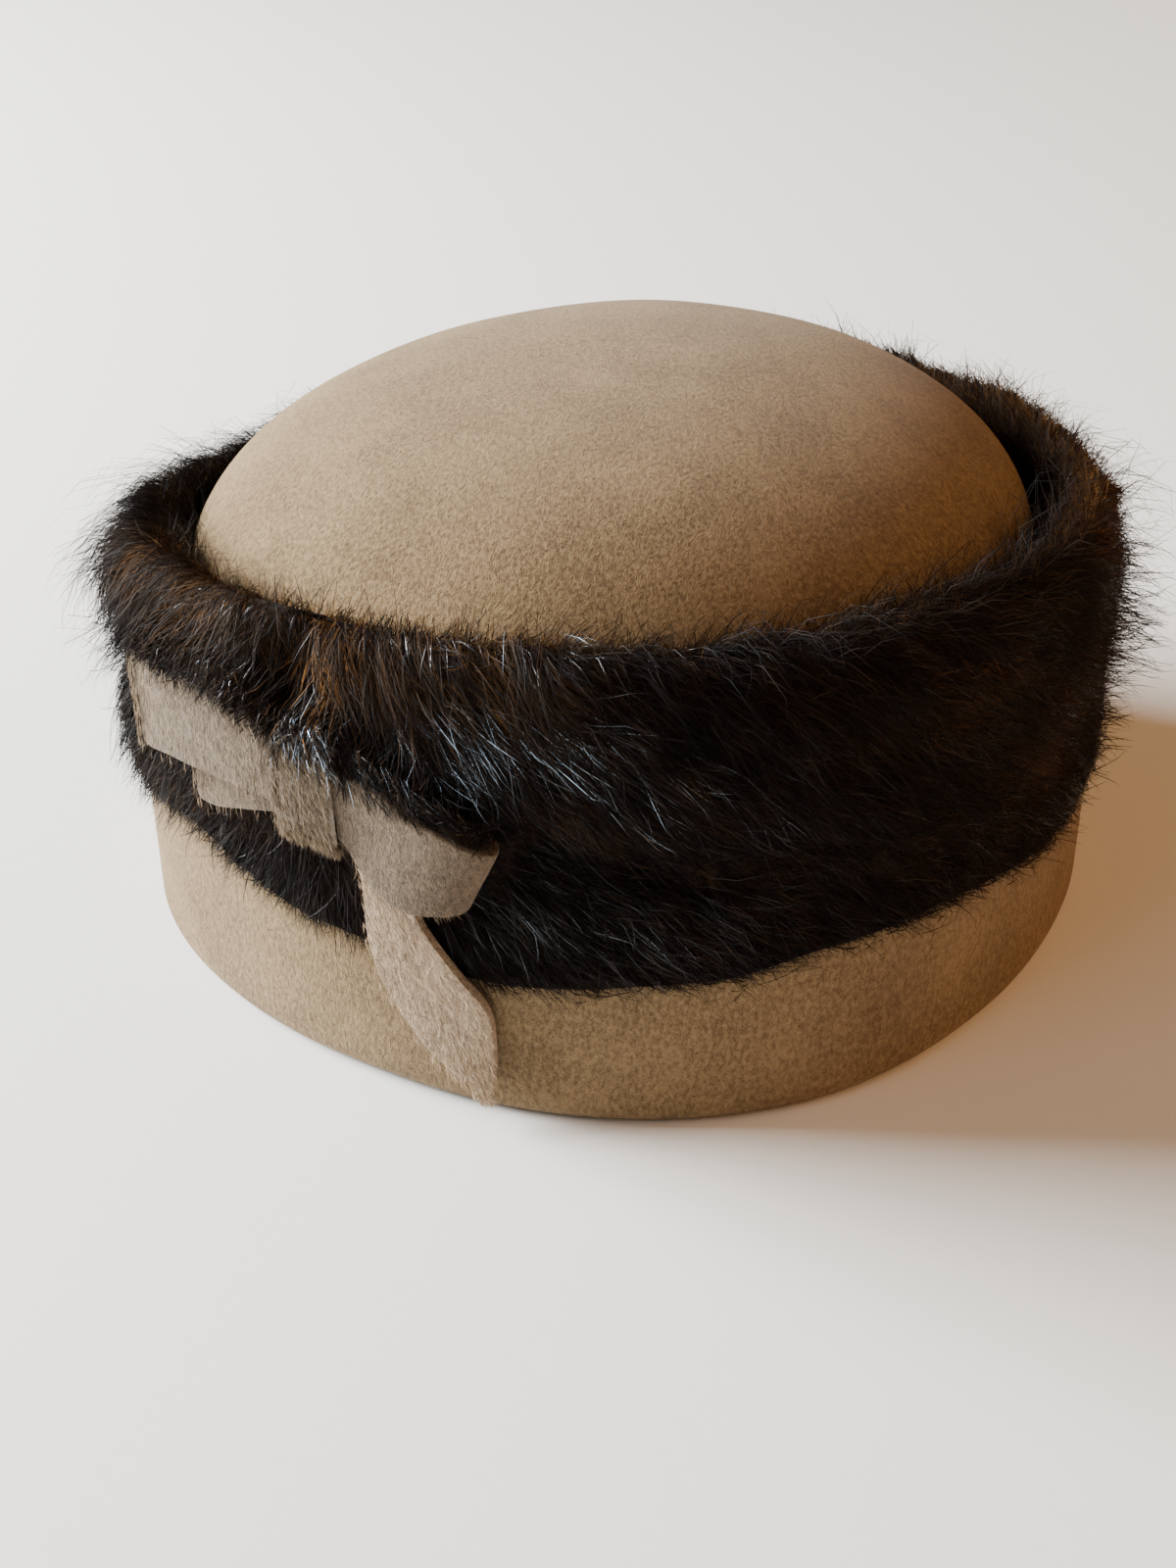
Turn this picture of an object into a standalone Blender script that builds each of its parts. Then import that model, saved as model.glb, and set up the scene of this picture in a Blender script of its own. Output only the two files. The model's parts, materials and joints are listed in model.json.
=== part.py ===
"""A felt pillbox hat with a band of dark fur and a flat felt bow, lying on a surface as it would by itself.

Metres, +Z up. The hat's long axis is Y, its front is -Y and the wearer's left is +X. A bearing is an angle
about Z from +X, in degrees, and a stand is a distance out from the cuff's outer face.
"""
import math
from collections import namedtuple

import bmesh
import bpy
from mathutils import Vector

# Felt crown
HEM_RADIUS = 0.0855        # mean radius of the head opening, inside the hem
CROWN_WALL = 0.0022
CROWN_HEIGHT = 0.1166
DOME_SHARE = 0.99883       # mean radius of the dome where it is widest, as a share of the head opening's
DOME_RADIUS = HEM_RADIUS * DOME_SHARE
DOME_WIDEST = 0.074        # height of that widest line
DOME_FULLNESS = 2.31       # 2 is an ellipse, more is a fuller bubble
DOME_OVAL = 0.064
DOME_SHIFT = (-0.0037, -0.0043)

# Felt cuff, folded up round the crown
CUFF_ROOM = 0.0110         # from the head opening out to the cuff's outer face at the foot
CUFF_RADIUS = HEM_RADIUS + CUFF_ROOM
CUFF_HEIGHT = 0.072
CUFF_WALL = 0.0020
CUFF_TAPER = 0.0010        # how much narrower it is at its top edge, under the fur
CUFF_UPRIGHT = 0.034       # height from which it narrows
CUFF_OVAL = 0.046
FOLD_ROUND = 0.0040        # rounding of the outer fold
HEM_HEIGHT = 0.016

# Fur band in two tiers
FUR_DEPTH = 0.0032
FUR_TOP = 0.1025           # height of the roll's crest where it is highest
FUR_REACH = 0.0180         # how far it rolls in behind the cuff's top edge, at most
FUR_LIP = 0.0040           # how far it hangs down there
FUR_SPACE = 0.0010         # left between the fur's roll and the dome
LOCK_RISE = 0.0014
LOCK_DROP = 0.0030
LOCKS = 32
LOCK_STEPS = 3
FACE_SHARE = 0.5           # share of the height above the cuff's edge that the upper tier's face takes
ROLL_SHARE = 0.3           # share of it at which the roll starts
ROLL_POWER = 0.8           # below 1 the roll is fuller than an ellipse

# Flat bow of felt strip
STRIP = 0.0018             # thickness
STRIP_WIDTH = 0.021
BOW_SPAN = 0.079
BOW_BEARING = 290.5
BOW_HEIGHT = 0.064
BOW_SEAT = 0.0020          # depth of the fur that the bow presses flat
PRESS_MARGIN = 6.0         # degrees in which the fur rises again beside the bow
PRESS_BEYOND = 2.0         # degrees of pressed fur beyond the bow's ends

CLEAR = 0.0003             # between touching pieces
FELT_STEPS = 64            # facets round the felt pieces
STRIP_STEP = 0.005         # longest facet along a felt strip

TAUPE = (0.30, 0.21, 0.13)
TRIM = (0.36, 0.28, 0.20)
SABLE = (0.018, 0.012, 0.010)

# How the cuff's outline departs from its oval: a swelling or a flat, centred on a bearing
Swell = namedtuple("Swell", "bearing spread share")
SWELLS = (
    Swell(241.0, 27.0, 0.082),
    Swell(294.0, 21.0, -0.025),
    Swell(347.0, 27.0, 0.036),
)

# Heights of the fur's lower edge, of the step between its tiers and of its crest, as shares of FUR_TOP,
# and how far it rolls in, as a share of FUR_REACH
Edge = namedtuple("Edge", "bearing lower tier crest reach")
EDGES = (
    Edge(0.0, 0.388, 0.585, 0.976, 1.00),
    Edge(28.0, 0.332, 0.595, 0.927, 0.70),
    Edge(65.0, 0.341, 0.600, 0.868, 0.40),
    Edge(110.0, 0.349, 0.605, 0.849, 0.50),
    Edge(180.0, 0.349, 0.620, 0.795, 0.80),
    Edge(215.0, 0.345, 0.634, 0.795, 1.00),
    Edge(240.0, 0.345, 0.649, 0.859, 1.00),
    Edge(267.0, 0.405, 0.673, 0.956, 1.00),
    Edge(287.0, 0.341, 0.673, 0.995, 1.00),
    Edge(308.0, 0.315, 0.681, 1.000, 1.00),
    Edge(332.0, 0.347, 0.649, 0.983, 1.00),
    Edge(347.0, 0.384, 0.605, 0.976, 1.00),
)

# Outer face of each tier: stand as a share of FUR_DEPTH, rise as a share of the tier's height, and how
# much of the locks' depth shows there
Pelt = namedtuple("Pelt", "stand rise lock")
UPPER_FACE = (
    Pelt(0.70, 0.00, 1.0),
    Pelt(0.95, 0.20, 1.0),
    Pelt(1.00, 0.50, 0.9),
)
LOWER_FACE = (
    Pelt(0.35, 0.00, 0.4),
    Pelt(0.75, 0.16, 1.0),
    Pelt(0.85, 0.45, 0.9),
    Pelt(0.80, 0.75, 0.6),
    Pelt(0.40, 0.94, 0.0),
)
# Roll of the upper tier over the cuff's edge, as turns in degrees from its outer to its inner side
ROLL_TURNS = (8, 34, 60, 86, 114, 146)

# A cut across a felt strip, from its first edge to its second: places along the wall as shares of BOW_SPAN,
# heights as shares of STRIP_WIDTH, and the layer of the bow that it lies in, 0 being next to the fur
Cut = namedtuple("Cut", "along_1 up_1 along_2 up_2 layer")
LEFT_LOOP = (
    Cut(-0.010, 0.58, -0.010, -0.04, 2.00),
    Cut(-0.100, 0.64, -0.100, -0.03, 2.00),
    Cut(-0.220, 0.84, -0.220, 0.00, 2.05),
    Cut(-0.400, 0.86, -0.410, -0.08, 2.05),
    Cut(-0.545, 0.76, -0.530, -0.18, 2.00),
    Cut(-0.580, 0.70, -0.562, -0.14, 1.85),
    Cut(-0.590, 0.68, -0.570, -0.12, 1.50),
    Cut(-0.580, 0.70, -0.562, -0.14, 1.15),
    Cut(-0.545, 0.76, -0.530, -0.14, 1.00),
    Cut(-0.220, 0.84, -0.220, 0.04, 1.00),
    Cut(-0.100, 0.64, -0.100, 0.00, 1.00),
    Cut(-0.010, 0.58, -0.010, -0.02, 1.00),
)
LEFT_TAIL = (
    Cut(-0.010, 0.42, -0.010, -0.10, 0.00),
    Cut(-0.100, 0.44, -0.100, -0.20, 0.00),
    Cut(-0.220, 0.46, -0.220, -0.36, 0.05),
    Cut(-0.350, 0.42, -0.350, -0.54, 0.05),
    Cut(-0.400, 0.38, -0.405, -0.56, 0.05),
    Cut(-0.412, 0.34, -0.418, -0.48, 0.05),
)
RIGHT_LOOP = (
    Cut(0.010, 0.58, 0.010, -0.05, 2.00),
    Cut(0.090, 0.60, 0.085, -0.10, 2.05),
    Cut(0.190, 0.50, 0.150, -0.42, 2.30),
    Cut(0.290, 0.32, 0.232, -0.60, 2.55),
    Cut(0.375, 0.16, 0.305, -0.58, 2.30),
    Cut(0.404, 0.12, 0.334, -0.56, 1.80),
    Cut(0.413, 0.10, 0.343, -0.54, 1.15),
    Cut(0.404, 0.12, 0.334, -0.56, 0.50),
    Cut(0.375, 0.16, 0.305, -0.56, 0.05),
    Cut(0.290, 0.32, 0.232, -0.50, 0.00),
    Cut(0.190, 0.46, 0.170, -0.26, 0.00),
    Cut(0.090, 0.50, 0.090, -0.08, 0.00),
    Cut(0.010, 0.50, 0.010, -0.05, 0.00),
)
RIGHT_TAIL = (
    Cut(0.070, -0.12, 0.185, -0.10, 1.00),
    Cut(0.090, -0.42, 0.210, -0.48, 1.00),
    Cut(0.100, -0.75, 0.240, -0.88, 0.95),
    Cut(0.104, -1.31, 0.318, -1.36, 0.55),
    Cut(0.137, -1.82, 0.386, -1.74, 0.10),
    Cut(0.232, -2.32, 0.404, -2.08, 0.15),
    Cut(0.308, -2.54, 0.404, -2.42, 0.35),
    Cut(0.378, -2.70, 0.398, -2.68, 0.60),
)
KNOT = (
    Cut(-0.050, 0.70, 0.050, 0.70, 0.60),
    Cut(-0.060, 0.74, 0.060, 0.73, 1.60),
    Cut(-0.068, 0.71, 0.064, 0.69, 2.70),
    Cut(-0.074, 0.60, 0.070, 0.56, 3.05),
    Cut(-0.076, 0.26, 0.074, 0.22, 3.10),
    Cut(-0.074, -0.02, 0.078, -0.06, 3.05),
    Cut(-0.070, -0.14, 0.074, -0.18, 2.70),
    Cut(-0.066, -0.18, 0.070, -0.22, 1.60),
    Cut(-0.056, -0.17, 0.060, -0.21, 0.60),
)


def clear_scene():
    """Start from an empty file."""
    for old in list(bpy.data.objects):
        bpy.data.objects.remove(old, do_unlink=True)


def material(name, colour, roughness):
    """A plain material with the piece's colour."""
    made = bpy.data.materials.new(name)
    made.use_nodes = True
    shader = made.node_tree.nodes["Principled BSDF"]
    shader.inputs["Base Color"].default_value = (*colour, 1.0)
    shader.inputs["Roughness"].default_value = roughness
    return made


def finish(name, mesh, surface):
    """Turn a bmesh into a named, smooth shaded object with its faces pointing out."""
    bmesh.ops.recalc_face_normals(mesh, faces=mesh.faces)
    data = bpy.data.meshes.new(name)
    mesh.to_mesh(data)
    mesh.free()
    data.shade_smooth()
    data.set_sharp_from_angle(angle=math.radians(40))
    data.materials.append(surface)
    made = bpy.data.objects.new(name, data)
    bpy.context.collection.objects.link(made)
    return made


def ease(share):
    """A smooth step from 0 to 1."""
    share = min(max(share, 0.0), 1.0)
    return share * share * (3.0 - 2.0 * share)


def turn_between(bearing, other):
    """The signed angle from one bearing to another, between -180 and 180."""
    return (bearing - other + 180.0) % 360.0 - 180.0


def oval(bearing, share):
    """An oval's radius as a share of its mean, longest along Y."""
    return 1.0 - share * math.cos(math.radians(2.0 * bearing))


def cuff_plan(bearing):
    """The cuff's radius as a share of its mean, with its swellings and flats."""
    swelling = sum(s.share * math.exp(-((turn_between(bearing, s.bearing) / s.spread) ** 2)) for s in SWELLS)
    return oval(bearing, CUFF_OVAL) + swelling


def cuff_mean(height):
    """Mean radius of the cuff's outer face, upright below and narrower under the fur."""
    return CUFF_RADIUS - CUFF_TAPER * ease((height - CUFF_UPRIGHT) / (CUFF_HEIGHT - CUFF_UPRIGHT))


def cuff_face(bearing, height):
    """Radius of the cuff's outer face."""
    return cuff_mean(height) * cuff_plan(bearing)


def crown_outer():
    """Radius of the crown's outer face at its foot, from the hem that it stands round."""
    return HEM_RADIUS + CUFF_WALL + CLEAR + CROWN_WALL


def crown_lean(height):
    """0 at the foot, where the crown follows the hem, and 1 from its widest line up."""
    return ease((height - HEM_HEIGHT) / (DOME_WIDEST - HEM_HEIGHT))


def crown_plan(bearing, height):
    """The crown's radius as a share of its mean: the cuff's outline below, a plain oval above."""
    lean = crown_lean(height)
    return (1.0 - lean) * cuff_plan(bearing) + lean * oval(bearing, DOME_OVAL)


def crown_face(bearing, height):
    """Radius of the crown's outer face along one bearing."""
    lean = crown_lean(height)
    mean = crown_outer() + (DOME_RADIUS - crown_outer()) * lean
    if height > DOME_WIDEST:
        rise = min((height - DOME_WIDEST) / (CROWN_HEIGHT - DOME_WIDEST), 1.0)
        mean = DOME_RADIUS * (1.0 - rise * rise) ** (1.0 / DOME_FULLNESS)
    angle = math.radians(bearing)
    shift = DOME_SHIFT[0] * math.cos(angle) + DOME_SHIFT[1] * math.sin(angle)
    return mean * crown_plan(bearing, height) + shift * lean


def place(bearing, radius, height):
    """A point from its bearing, radius and height."""
    angle = math.radians(bearing)
    return Vector((radius * math.cos(angle), radius * math.sin(angle), height))


def dome_profile(inset, rows):
    """One face of the dome from its top down to its widest line, set in by the wall where asked."""
    points = []
    for row in range(rows + 1):
        turn = 0.5 * math.pi * row / rows
        radius = (DOME_RADIUS - inset) * math.sin(turn) ** (2.0 / DOME_FULLNESS)
        points.append((radius, DOME_WIDEST + (CROWN_HEIGHT - inset - DOME_WIDEST) * math.cos(turn)))
    return points


def wall_profile(inset, rows):
    """One face of the crown's side wall, from its widest line down to its foot."""
    foot = CUFF_WALL + CLEAR
    points = []
    for row in range(1, rows + 1):
        height = DOME_WIDEST + (foot - DOME_WIDEST) * row / rows
        mean = crown_outer() + (DOME_RADIUS - crown_outer()) * crown_lean(height)
        points.append((mean - inset, height))
    return points


def make_crown(surface):
    """The crown: a bubble dome and its side wall in one hollow shell, turned and then shaped to its oval."""
    outer = dome_profile(0.0, 9) + wall_profile(0.0, 5)
    inner = dome_profile(CROWN_WALL, 8) + wall_profile(CROWN_WALL, 5)
    mesh = bmesh.new()
    verts = [mesh.verts.new((radius, 0.0, height)) for radius, height in outer + inner[::-1]]
    for pair in zip(verts, verts[1:]):
        mesh.edges.new(pair)
    bmesh.ops.spin(mesh, geom=mesh.verts[:] + mesh.edges[:], cent=(0, 0, 0), axis=(0, 0, 1),
                   angle=math.tau, steps=FELT_STEPS, use_merge=True)
    bmesh.ops.remove_doubles(mesh, verts=mesh.verts, dist=0.00001)
    for vert in mesh.verts:
        radius = math.hypot(vert.co.x, vert.co.y)
        bearing = math.degrees(math.atan2(vert.co.y, vert.co.x))
        lean = crown_lean(vert.co.z)
        shift = Vector((DOME_SHIFT[0], DOME_SHIFT[1], 0.0)) * lean
        vert.co = place(bearing, radius * crown_plan(bearing, vert.co.z), vert.co.z) + shift
    return finish("crown", mesh, surface)


def arc(centre, radius, start, stop, steps):
    """Points of a round corner in a section, angles in degrees."""
    turns = [math.radians(start + (stop - start) * step / steps) for step in range(steps + 1)]
    return [(centre[0] + radius * math.cos(t), centre[1] + radius * math.sin(t)) for t in turns]


def cuff_section(bearing):
    """The cuff cut through: outer wall, fold with its flat foot, and the hem turned up inside the crown."""
    outer = FOLD_ROUND
    inner = FOLD_ROUND - CUFF_WALL
    fold = (CUFF_RADIUS - FOLD_ROUND, FOLD_ROUND)
    hem_fold = (HEM_RADIUS + CUFF_WALL, CUFF_WALL)
    top = CUFF_RADIUS - CUFF_TAPER
    points = [(top, CUFF_HEIGHT), (cuff_mean(CUFF_UPRIGHT), CUFF_UPRIGHT)]
    points += arc(fold, outer, 0.0, -90.0, 4)
    points += arc(hem_fold, CUFF_WALL, -90.0, -180.0, 3)
    points += [(HEM_RADIUS, HEM_HEIGHT), (HEM_RADIUS + CUFF_WALL, HEM_HEIGHT)]
    points += [(HEM_RADIUS + CUFF_WALL, CUFF_WALL)]
    points += arc(fold, inner, -90.0, 0.0, 3)
    points += [(CUFF_RADIUS - CUFF_WALL, CUFF_UPRIGHT), (top - CUFF_WALL, CUFF_HEIGHT)]
    return [(radius * cuff_plan(bearing), height) for radius, height in points]


def ring(name, section, steps, surface):
    """A closed ring, bridged from its upright section at each bearing to the next."""
    mesh = bmesh.new()
    loops = []
    for step in range(steps):
        bearing = 360.0 * step / steps
        verts = [mesh.verts.new(place(bearing, *point)) for point in section(bearing)]
        loops.append([mesh.edges.new(pair) for pair in zip(verts, verts[1:] + verts[:1])])
    for here, following in zip(loops, loops[1:] + loops[:1]):
        bmesh.ops.bridge_loops(mesh, edges=here + following)
    return finish(name, mesh, surface)


def edge_share(bearing, column):
    """A column of the fur's table, eased between its bearings."""
    for near, far in zip(EDGES, EDGES[1:] + EDGES[:1]):
        stretch = (far.bearing - near.bearing) % 360.0
        along = (bearing - near.bearing) % 360.0
        if along < stretch:
            start = getattr(near, column)
            return start + (getattr(far, column) - start) * ease(along / stretch)
    return getattr(EDGES[0], column)


def edge_height(bearing, column):
    """Height of one of the fur's edges."""
    return FUR_TOP * edge_share(bearing, column)


def arc_turn(along):
    """The bearing's change for a place along the bow."""
    return math.degrees(along * BOW_SPAN / CUFF_RADIUS)


def pressed(bearing):
    """1 where the bow or its tail lies on the fur, 0 clear of it."""
    left = arc_turn(LEFT_LOOP[6].along_1) - PRESS_BEYOND
    right = arc_turn(RIGHT_LOOP[6].along_1) + PRESS_BEYOND
    turn = turn_between(bearing, BOW_BEARING)
    return ease((turn - left) / PRESS_MARGIN + 1.0) * ease((right - turn) / PRESS_MARGIN + 1.0)


def lock(bearing, row):
    """A saw-tooth round the hat, one tooth for each lock, moved on a step for each row down."""
    step = round(bearing / 360.0 * LOCKS * LOCK_STEPS) + row
    return (step % LOCK_STEPS) / (LOCK_STEPS - 1)


def pelt_face(bearing, face, foot, height):
    """The outer face of one tier, from its lower edge up: locks in relief, pressed flat under the bow."""
    press = pressed(bearing)
    points = []
    for row, pelt in enumerate(face):
        tooth = lock(bearing, -row) * pelt.lock * (1.0 - press)
        stand = pelt.stand * (FUR_DEPTH + (BOW_SEAT - FUR_DEPTH) * press) + tooth * LOCK_RISE
        level = foot + pelt.rise * height - (tooth * LOCK_DROP if row == 0 else 0.0)
        points.append((cuff_face(bearing, level) + stand, level))
    return points


def roll(bearing, base, crest):
    """The upper tier's roll over the cuff's edge, from its outer to its inner side."""
    press = pressed(bearing)
    depth = FUR_DEPTH + (BOW_SEAT - FUR_DEPTH) * press
    outer = cuff_face(bearing, base) + depth
    inner = fur_inner(bearing, base)
    points = []
    for row, turn in enumerate(ROLL_TURNS):
        tooth = LOCK_RISE * lock(bearing, -row) * (1.0 - press) * math.sin(math.radians(turn))
        angle = math.radians(turn)
        half = 0.5 * (outer - inner)
        radius = 0.5 * (outer + inner) + half * math.copysign(abs(math.cos(angle)) ** ROLL_POWER, math.cos(angle))
        height = base + (crest - base) * math.sin(angle) ** ROLL_POWER + tooth
        points.append((max(radius, crown_face(bearing, height) + FUR_SPACE), height))
    return points


def fur_inner(bearing, height):
    """Radius of the fur's inner side, held off the crown."""
    reach = cuff_face(bearing, height) - CUFF_WALL - FUR_REACH * edge_share(bearing, "reach")
    return max(reach, crown_face(bearing, height) + FUR_SPACE)


def upper_section(bearing):
    """The upper tier cut through: face, roll, inner lip and the slot that the cuff's edge stands in."""
    tier = edge_height(bearing, "tier")
    base = CUFF_HEIGHT + CLEAR
    lip = CUFF_HEIGHT - FUR_LIP
    crest = edge_height(bearing, "crest")
    inner_wall = (CUFF_RADIUS - CUFF_TAPER - CUFF_WALL) * cuff_plan(bearing) - CLEAR
    points = pelt_face(bearing, UPPER_FACE, tier, base + FACE_SHARE * (crest - base) - tier)
    points += roll(bearing, base + ROLL_SHARE * (crest - base), crest)
    points += [(fur_inner(bearing, lip), lip), (inner_wall - CLEAR, lip)]
    points += [(inner_wall, base), (cuff_face(bearing, CUFF_HEIGHT) + CLEAR, base)]
    points += [(cuff_face(bearing, tier) + CLEAR, tier + CLEAR)]
    return points


def lower_section(bearing):
    """The lower tier cut through: a strip of fur on the cuff, under the upper tier's edge."""
    foot = edge_height(bearing, "lower")
    top = edge_height(bearing, "tier") - 2.0 * CLEAR
    points = pelt_face(bearing, LOWER_FACE, foot, top - foot)
    points += [(cuff_face(bearing, top) + CLEAR, top), (cuff_face(bearing, foot) + CLEAR, foot)]
    return points


def bow_point(along, up, layer):
    """A point on the middle of a felt strip, laid against the hat's side."""
    bearing = BOW_BEARING + arc_turn(along)
    height = BOW_HEIGHT + up * STRIP_WIDTH
    stand = BOW_SEAT + CLEAR + 0.5 * STRIP + layer * (STRIP + CLEAR)
    return place(bearing, cuff_face(bearing, height) + stand, height)


def fill_in(cuts):
    """The same strip with more cuts in its long stretches, so that it follows the hat's round side."""
    filled = []
    for near, far in zip(cuts, cuts[1:]):
        parts = max(1, math.ceil(abs(far.along_1 - near.along_1) * BOW_SPAN / STRIP_STEP))
        filled += [Cut(*(a + (b - a) * part / parts for a, b in zip(near, far))) for part in range(parts)]
    return filled + [cuts[-1]]


def strip(name, table, surface):
    """A felt strip of even thickness through a row of cuts, closed at both ends."""
    cuts = fill_in(table)
    edges = [(bow_point(c.along_1, c.up_1, c.layer), bow_point(c.along_2, c.up_2, c.layer)) for c in cuts]
    middles = [0.5 * (first + second) for first, second in edges]
    mesh = bmesh.new()
    loops = []
    for index, (first, second) in enumerate(edges):
        onward = middles[min(index + 1, len(cuts) - 1)] - middles[max(index - 1, 0)]
        out = (second - first).cross(onward).normalized() * (0.5 * STRIP)
        verts = [mesh.verts.new(point) for point in (first + out, second + out, second - out, first - out)]
        loops.append([mesh.edges.new(pair) for pair in zip(verts, verts[1:] + verts[:1])])
    for here, following in zip(loops, loops[1:]):
        bmesh.ops.bridge_loops(mesh, edges=here + following)
    bmesh.ops.contextual_create(mesh, geom=loops[0])
    bmesh.ops.contextual_create(mesh, geom=loops[-1])
    return finish(name, mesh, surface)


def centre_on_origin():
    """Move the hat so that the middle of its box stands over the origin."""
    corners = [vert.co for made in bpy.data.objects for vert in made.data.vertices]
    middle = [0.5 * (min(c[axis] for c in corners) + max(c[axis] for c in corners)) for axis in (0, 1)]
    for made in bpy.data.objects:
        made.location -= Vector((*middle, 0.0))


def main():
    """Build the hat's pieces."""
    clear_scene()
    felt = material("taupe_felt", TAUPE, 0.95)
    trim = material("trim_felt", TRIM, 0.95)
    fur = material("dark_fur", SABLE, 0.6)
    make_crown(felt)
    ring("cuff", cuff_section, FELT_STEPS, felt)
    ring("fur_upper", upper_section, LOCKS * LOCK_STEPS, fur)
    ring("fur_lower", lower_section, LOCKS * LOCK_STEPS, fur)
    strip("bow_left_loop", LEFT_LOOP, trim)
    strip("bow_left_tail", LEFT_TAIL, trim)
    strip("bow_right_loop", RIGHT_LOOP, trim)
    strip("bow_right_tail", RIGHT_TAIL, trim)
    strip("bow_knot", KNOT, trim)
    centre_on_origin()


main()
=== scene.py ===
"""Looks of a felt pillbox hat with a band of dark fur and a flat felt bow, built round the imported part.

Metres, +Z up. The hat's front is -Y and the wearer's left is +X. A bearing is an angle about the hat's
upright axis from +X, in degrees. A stand is a distance out from the cuff's outer face.
"""

import json
import math
from collections import namedtuple

import bmesh
import bpy
import numpy as np
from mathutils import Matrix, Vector, noise
from mathutils.bvhtree import BVHTree

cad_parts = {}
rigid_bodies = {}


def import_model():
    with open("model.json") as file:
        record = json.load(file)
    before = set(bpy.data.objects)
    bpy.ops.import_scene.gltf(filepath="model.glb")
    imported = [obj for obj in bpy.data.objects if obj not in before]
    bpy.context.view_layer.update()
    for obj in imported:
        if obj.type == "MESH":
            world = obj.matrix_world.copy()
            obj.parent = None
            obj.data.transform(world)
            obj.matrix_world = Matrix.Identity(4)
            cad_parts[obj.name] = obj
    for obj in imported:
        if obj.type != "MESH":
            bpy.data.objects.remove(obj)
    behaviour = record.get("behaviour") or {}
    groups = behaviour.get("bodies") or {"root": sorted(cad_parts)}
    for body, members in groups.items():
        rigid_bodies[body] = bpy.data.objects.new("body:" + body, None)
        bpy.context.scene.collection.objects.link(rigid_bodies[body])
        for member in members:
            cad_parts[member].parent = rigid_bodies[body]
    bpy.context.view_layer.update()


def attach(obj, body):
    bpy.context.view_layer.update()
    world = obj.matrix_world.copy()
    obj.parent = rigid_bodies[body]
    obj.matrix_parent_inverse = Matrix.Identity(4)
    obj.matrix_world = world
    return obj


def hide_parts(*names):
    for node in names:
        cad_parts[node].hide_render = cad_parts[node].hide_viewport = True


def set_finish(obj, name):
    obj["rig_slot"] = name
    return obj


bl_info = {
    "name": "Pillbox Hat",
    "version": (1, 0, 0),
    "blender": (4, 5, 0),
    "location": "3D View > Sidebar > Hat",
    "description": "A felt pillbox hat with a folded cuff, a band of dark fur and a flat felt bow",
    "category": "Add Mesh",
}

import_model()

# Plan of the hat, in the part's own shares
AXIS = Vector((-0.001318, 0.003205, 0.0))
Swell = namedtuple("Swell", "bearing spread share")
SWELLS = (Swell(241.0, 27.0, 0.082), Swell(294.0, 21.0, -0.025), Swell(347.0, 27.0, 0.036))
DOME_SHIFT = (-0.0037, -0.0043)

# Heights of the fur's lower edge, of the step between its tiers and of its crest, as shares of the top,
# and how far it rolls in, as a share of the furthest
Edge = namedtuple("Edge", "bearing lower tier crest reach")
EDGES = (
    Edge(0.0, 0.388, 0.585, 0.976, 1.00),
    Edge(28.0, 0.332, 0.595, 0.927, 0.70),
    Edge(65.0, 0.341, 0.600, 0.868, 0.40),
    Edge(110.0, 0.349, 0.605, 0.849, 0.50),
    Edge(180.0, 0.349, 0.620, 0.795, 0.80),
    Edge(215.0, 0.345, 0.634, 0.795, 1.00),
    Edge(240.0, 0.345, 0.649, 0.859, 1.00),
    Edge(267.0, 0.405, 0.673, 0.956, 1.00),
    Edge(287.0, 0.341, 0.673, 0.995, 1.00),
    Edge(308.0, 0.315, 0.681, 1.000, 1.00),
    Edge(332.0, 0.347, 0.649, 0.983, 1.00),
    Edge(347.0, 0.384, 0.605, 0.976, 1.00),
)

# A cut across a felt strip, from its first edge to its second: places along the wall as shares of the bow's
# span, heights as shares of the strip's width, and the layer of the bow, 0 being next to the fur
Cut = namedtuple("Cut", "along_1 up_1 along_2 up_2 layer")
LEFT_LOOP = (
    Cut(-0.010, 0.58, -0.010, -0.04, 2.00),
    Cut(-0.100, 0.64, -0.100, -0.03, 2.00),
    Cut(-0.220, 0.84, -0.220, 0.00, 2.05),
    Cut(-0.400, 0.86, -0.410, -0.08, 2.05),
    Cut(-0.545, 0.76, -0.530, -0.18, 2.00),
    Cut(-0.580, 0.70, -0.562, -0.14, 1.85),
    Cut(-0.590, 0.68, -0.570, -0.12, 1.50),
    Cut(-0.580, 0.70, -0.562, -0.14, 1.15),
    Cut(-0.545, 0.76, -0.530, -0.14, 1.00),
    Cut(-0.220, 0.84, -0.220, 0.04, 1.00),
    Cut(-0.100, 0.64, -0.100, 0.00, 1.00),
    Cut(-0.010, 0.58, -0.010, -0.02, 1.00),
)
LEFT_TAIL = (
    Cut(-0.010, 0.42, -0.010, -0.10, 0.00),
    Cut(-0.100, 0.44, -0.100, -0.20, 0.00),
    Cut(-0.220, 0.46, -0.220, -0.36, 0.05),
    Cut(-0.350, 0.42, -0.350, -0.54, 0.05),
    Cut(-0.400, 0.38, -0.405, -0.56, 0.05),
    Cut(-0.412, 0.34, -0.418, -0.48, 0.05),
)
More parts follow.
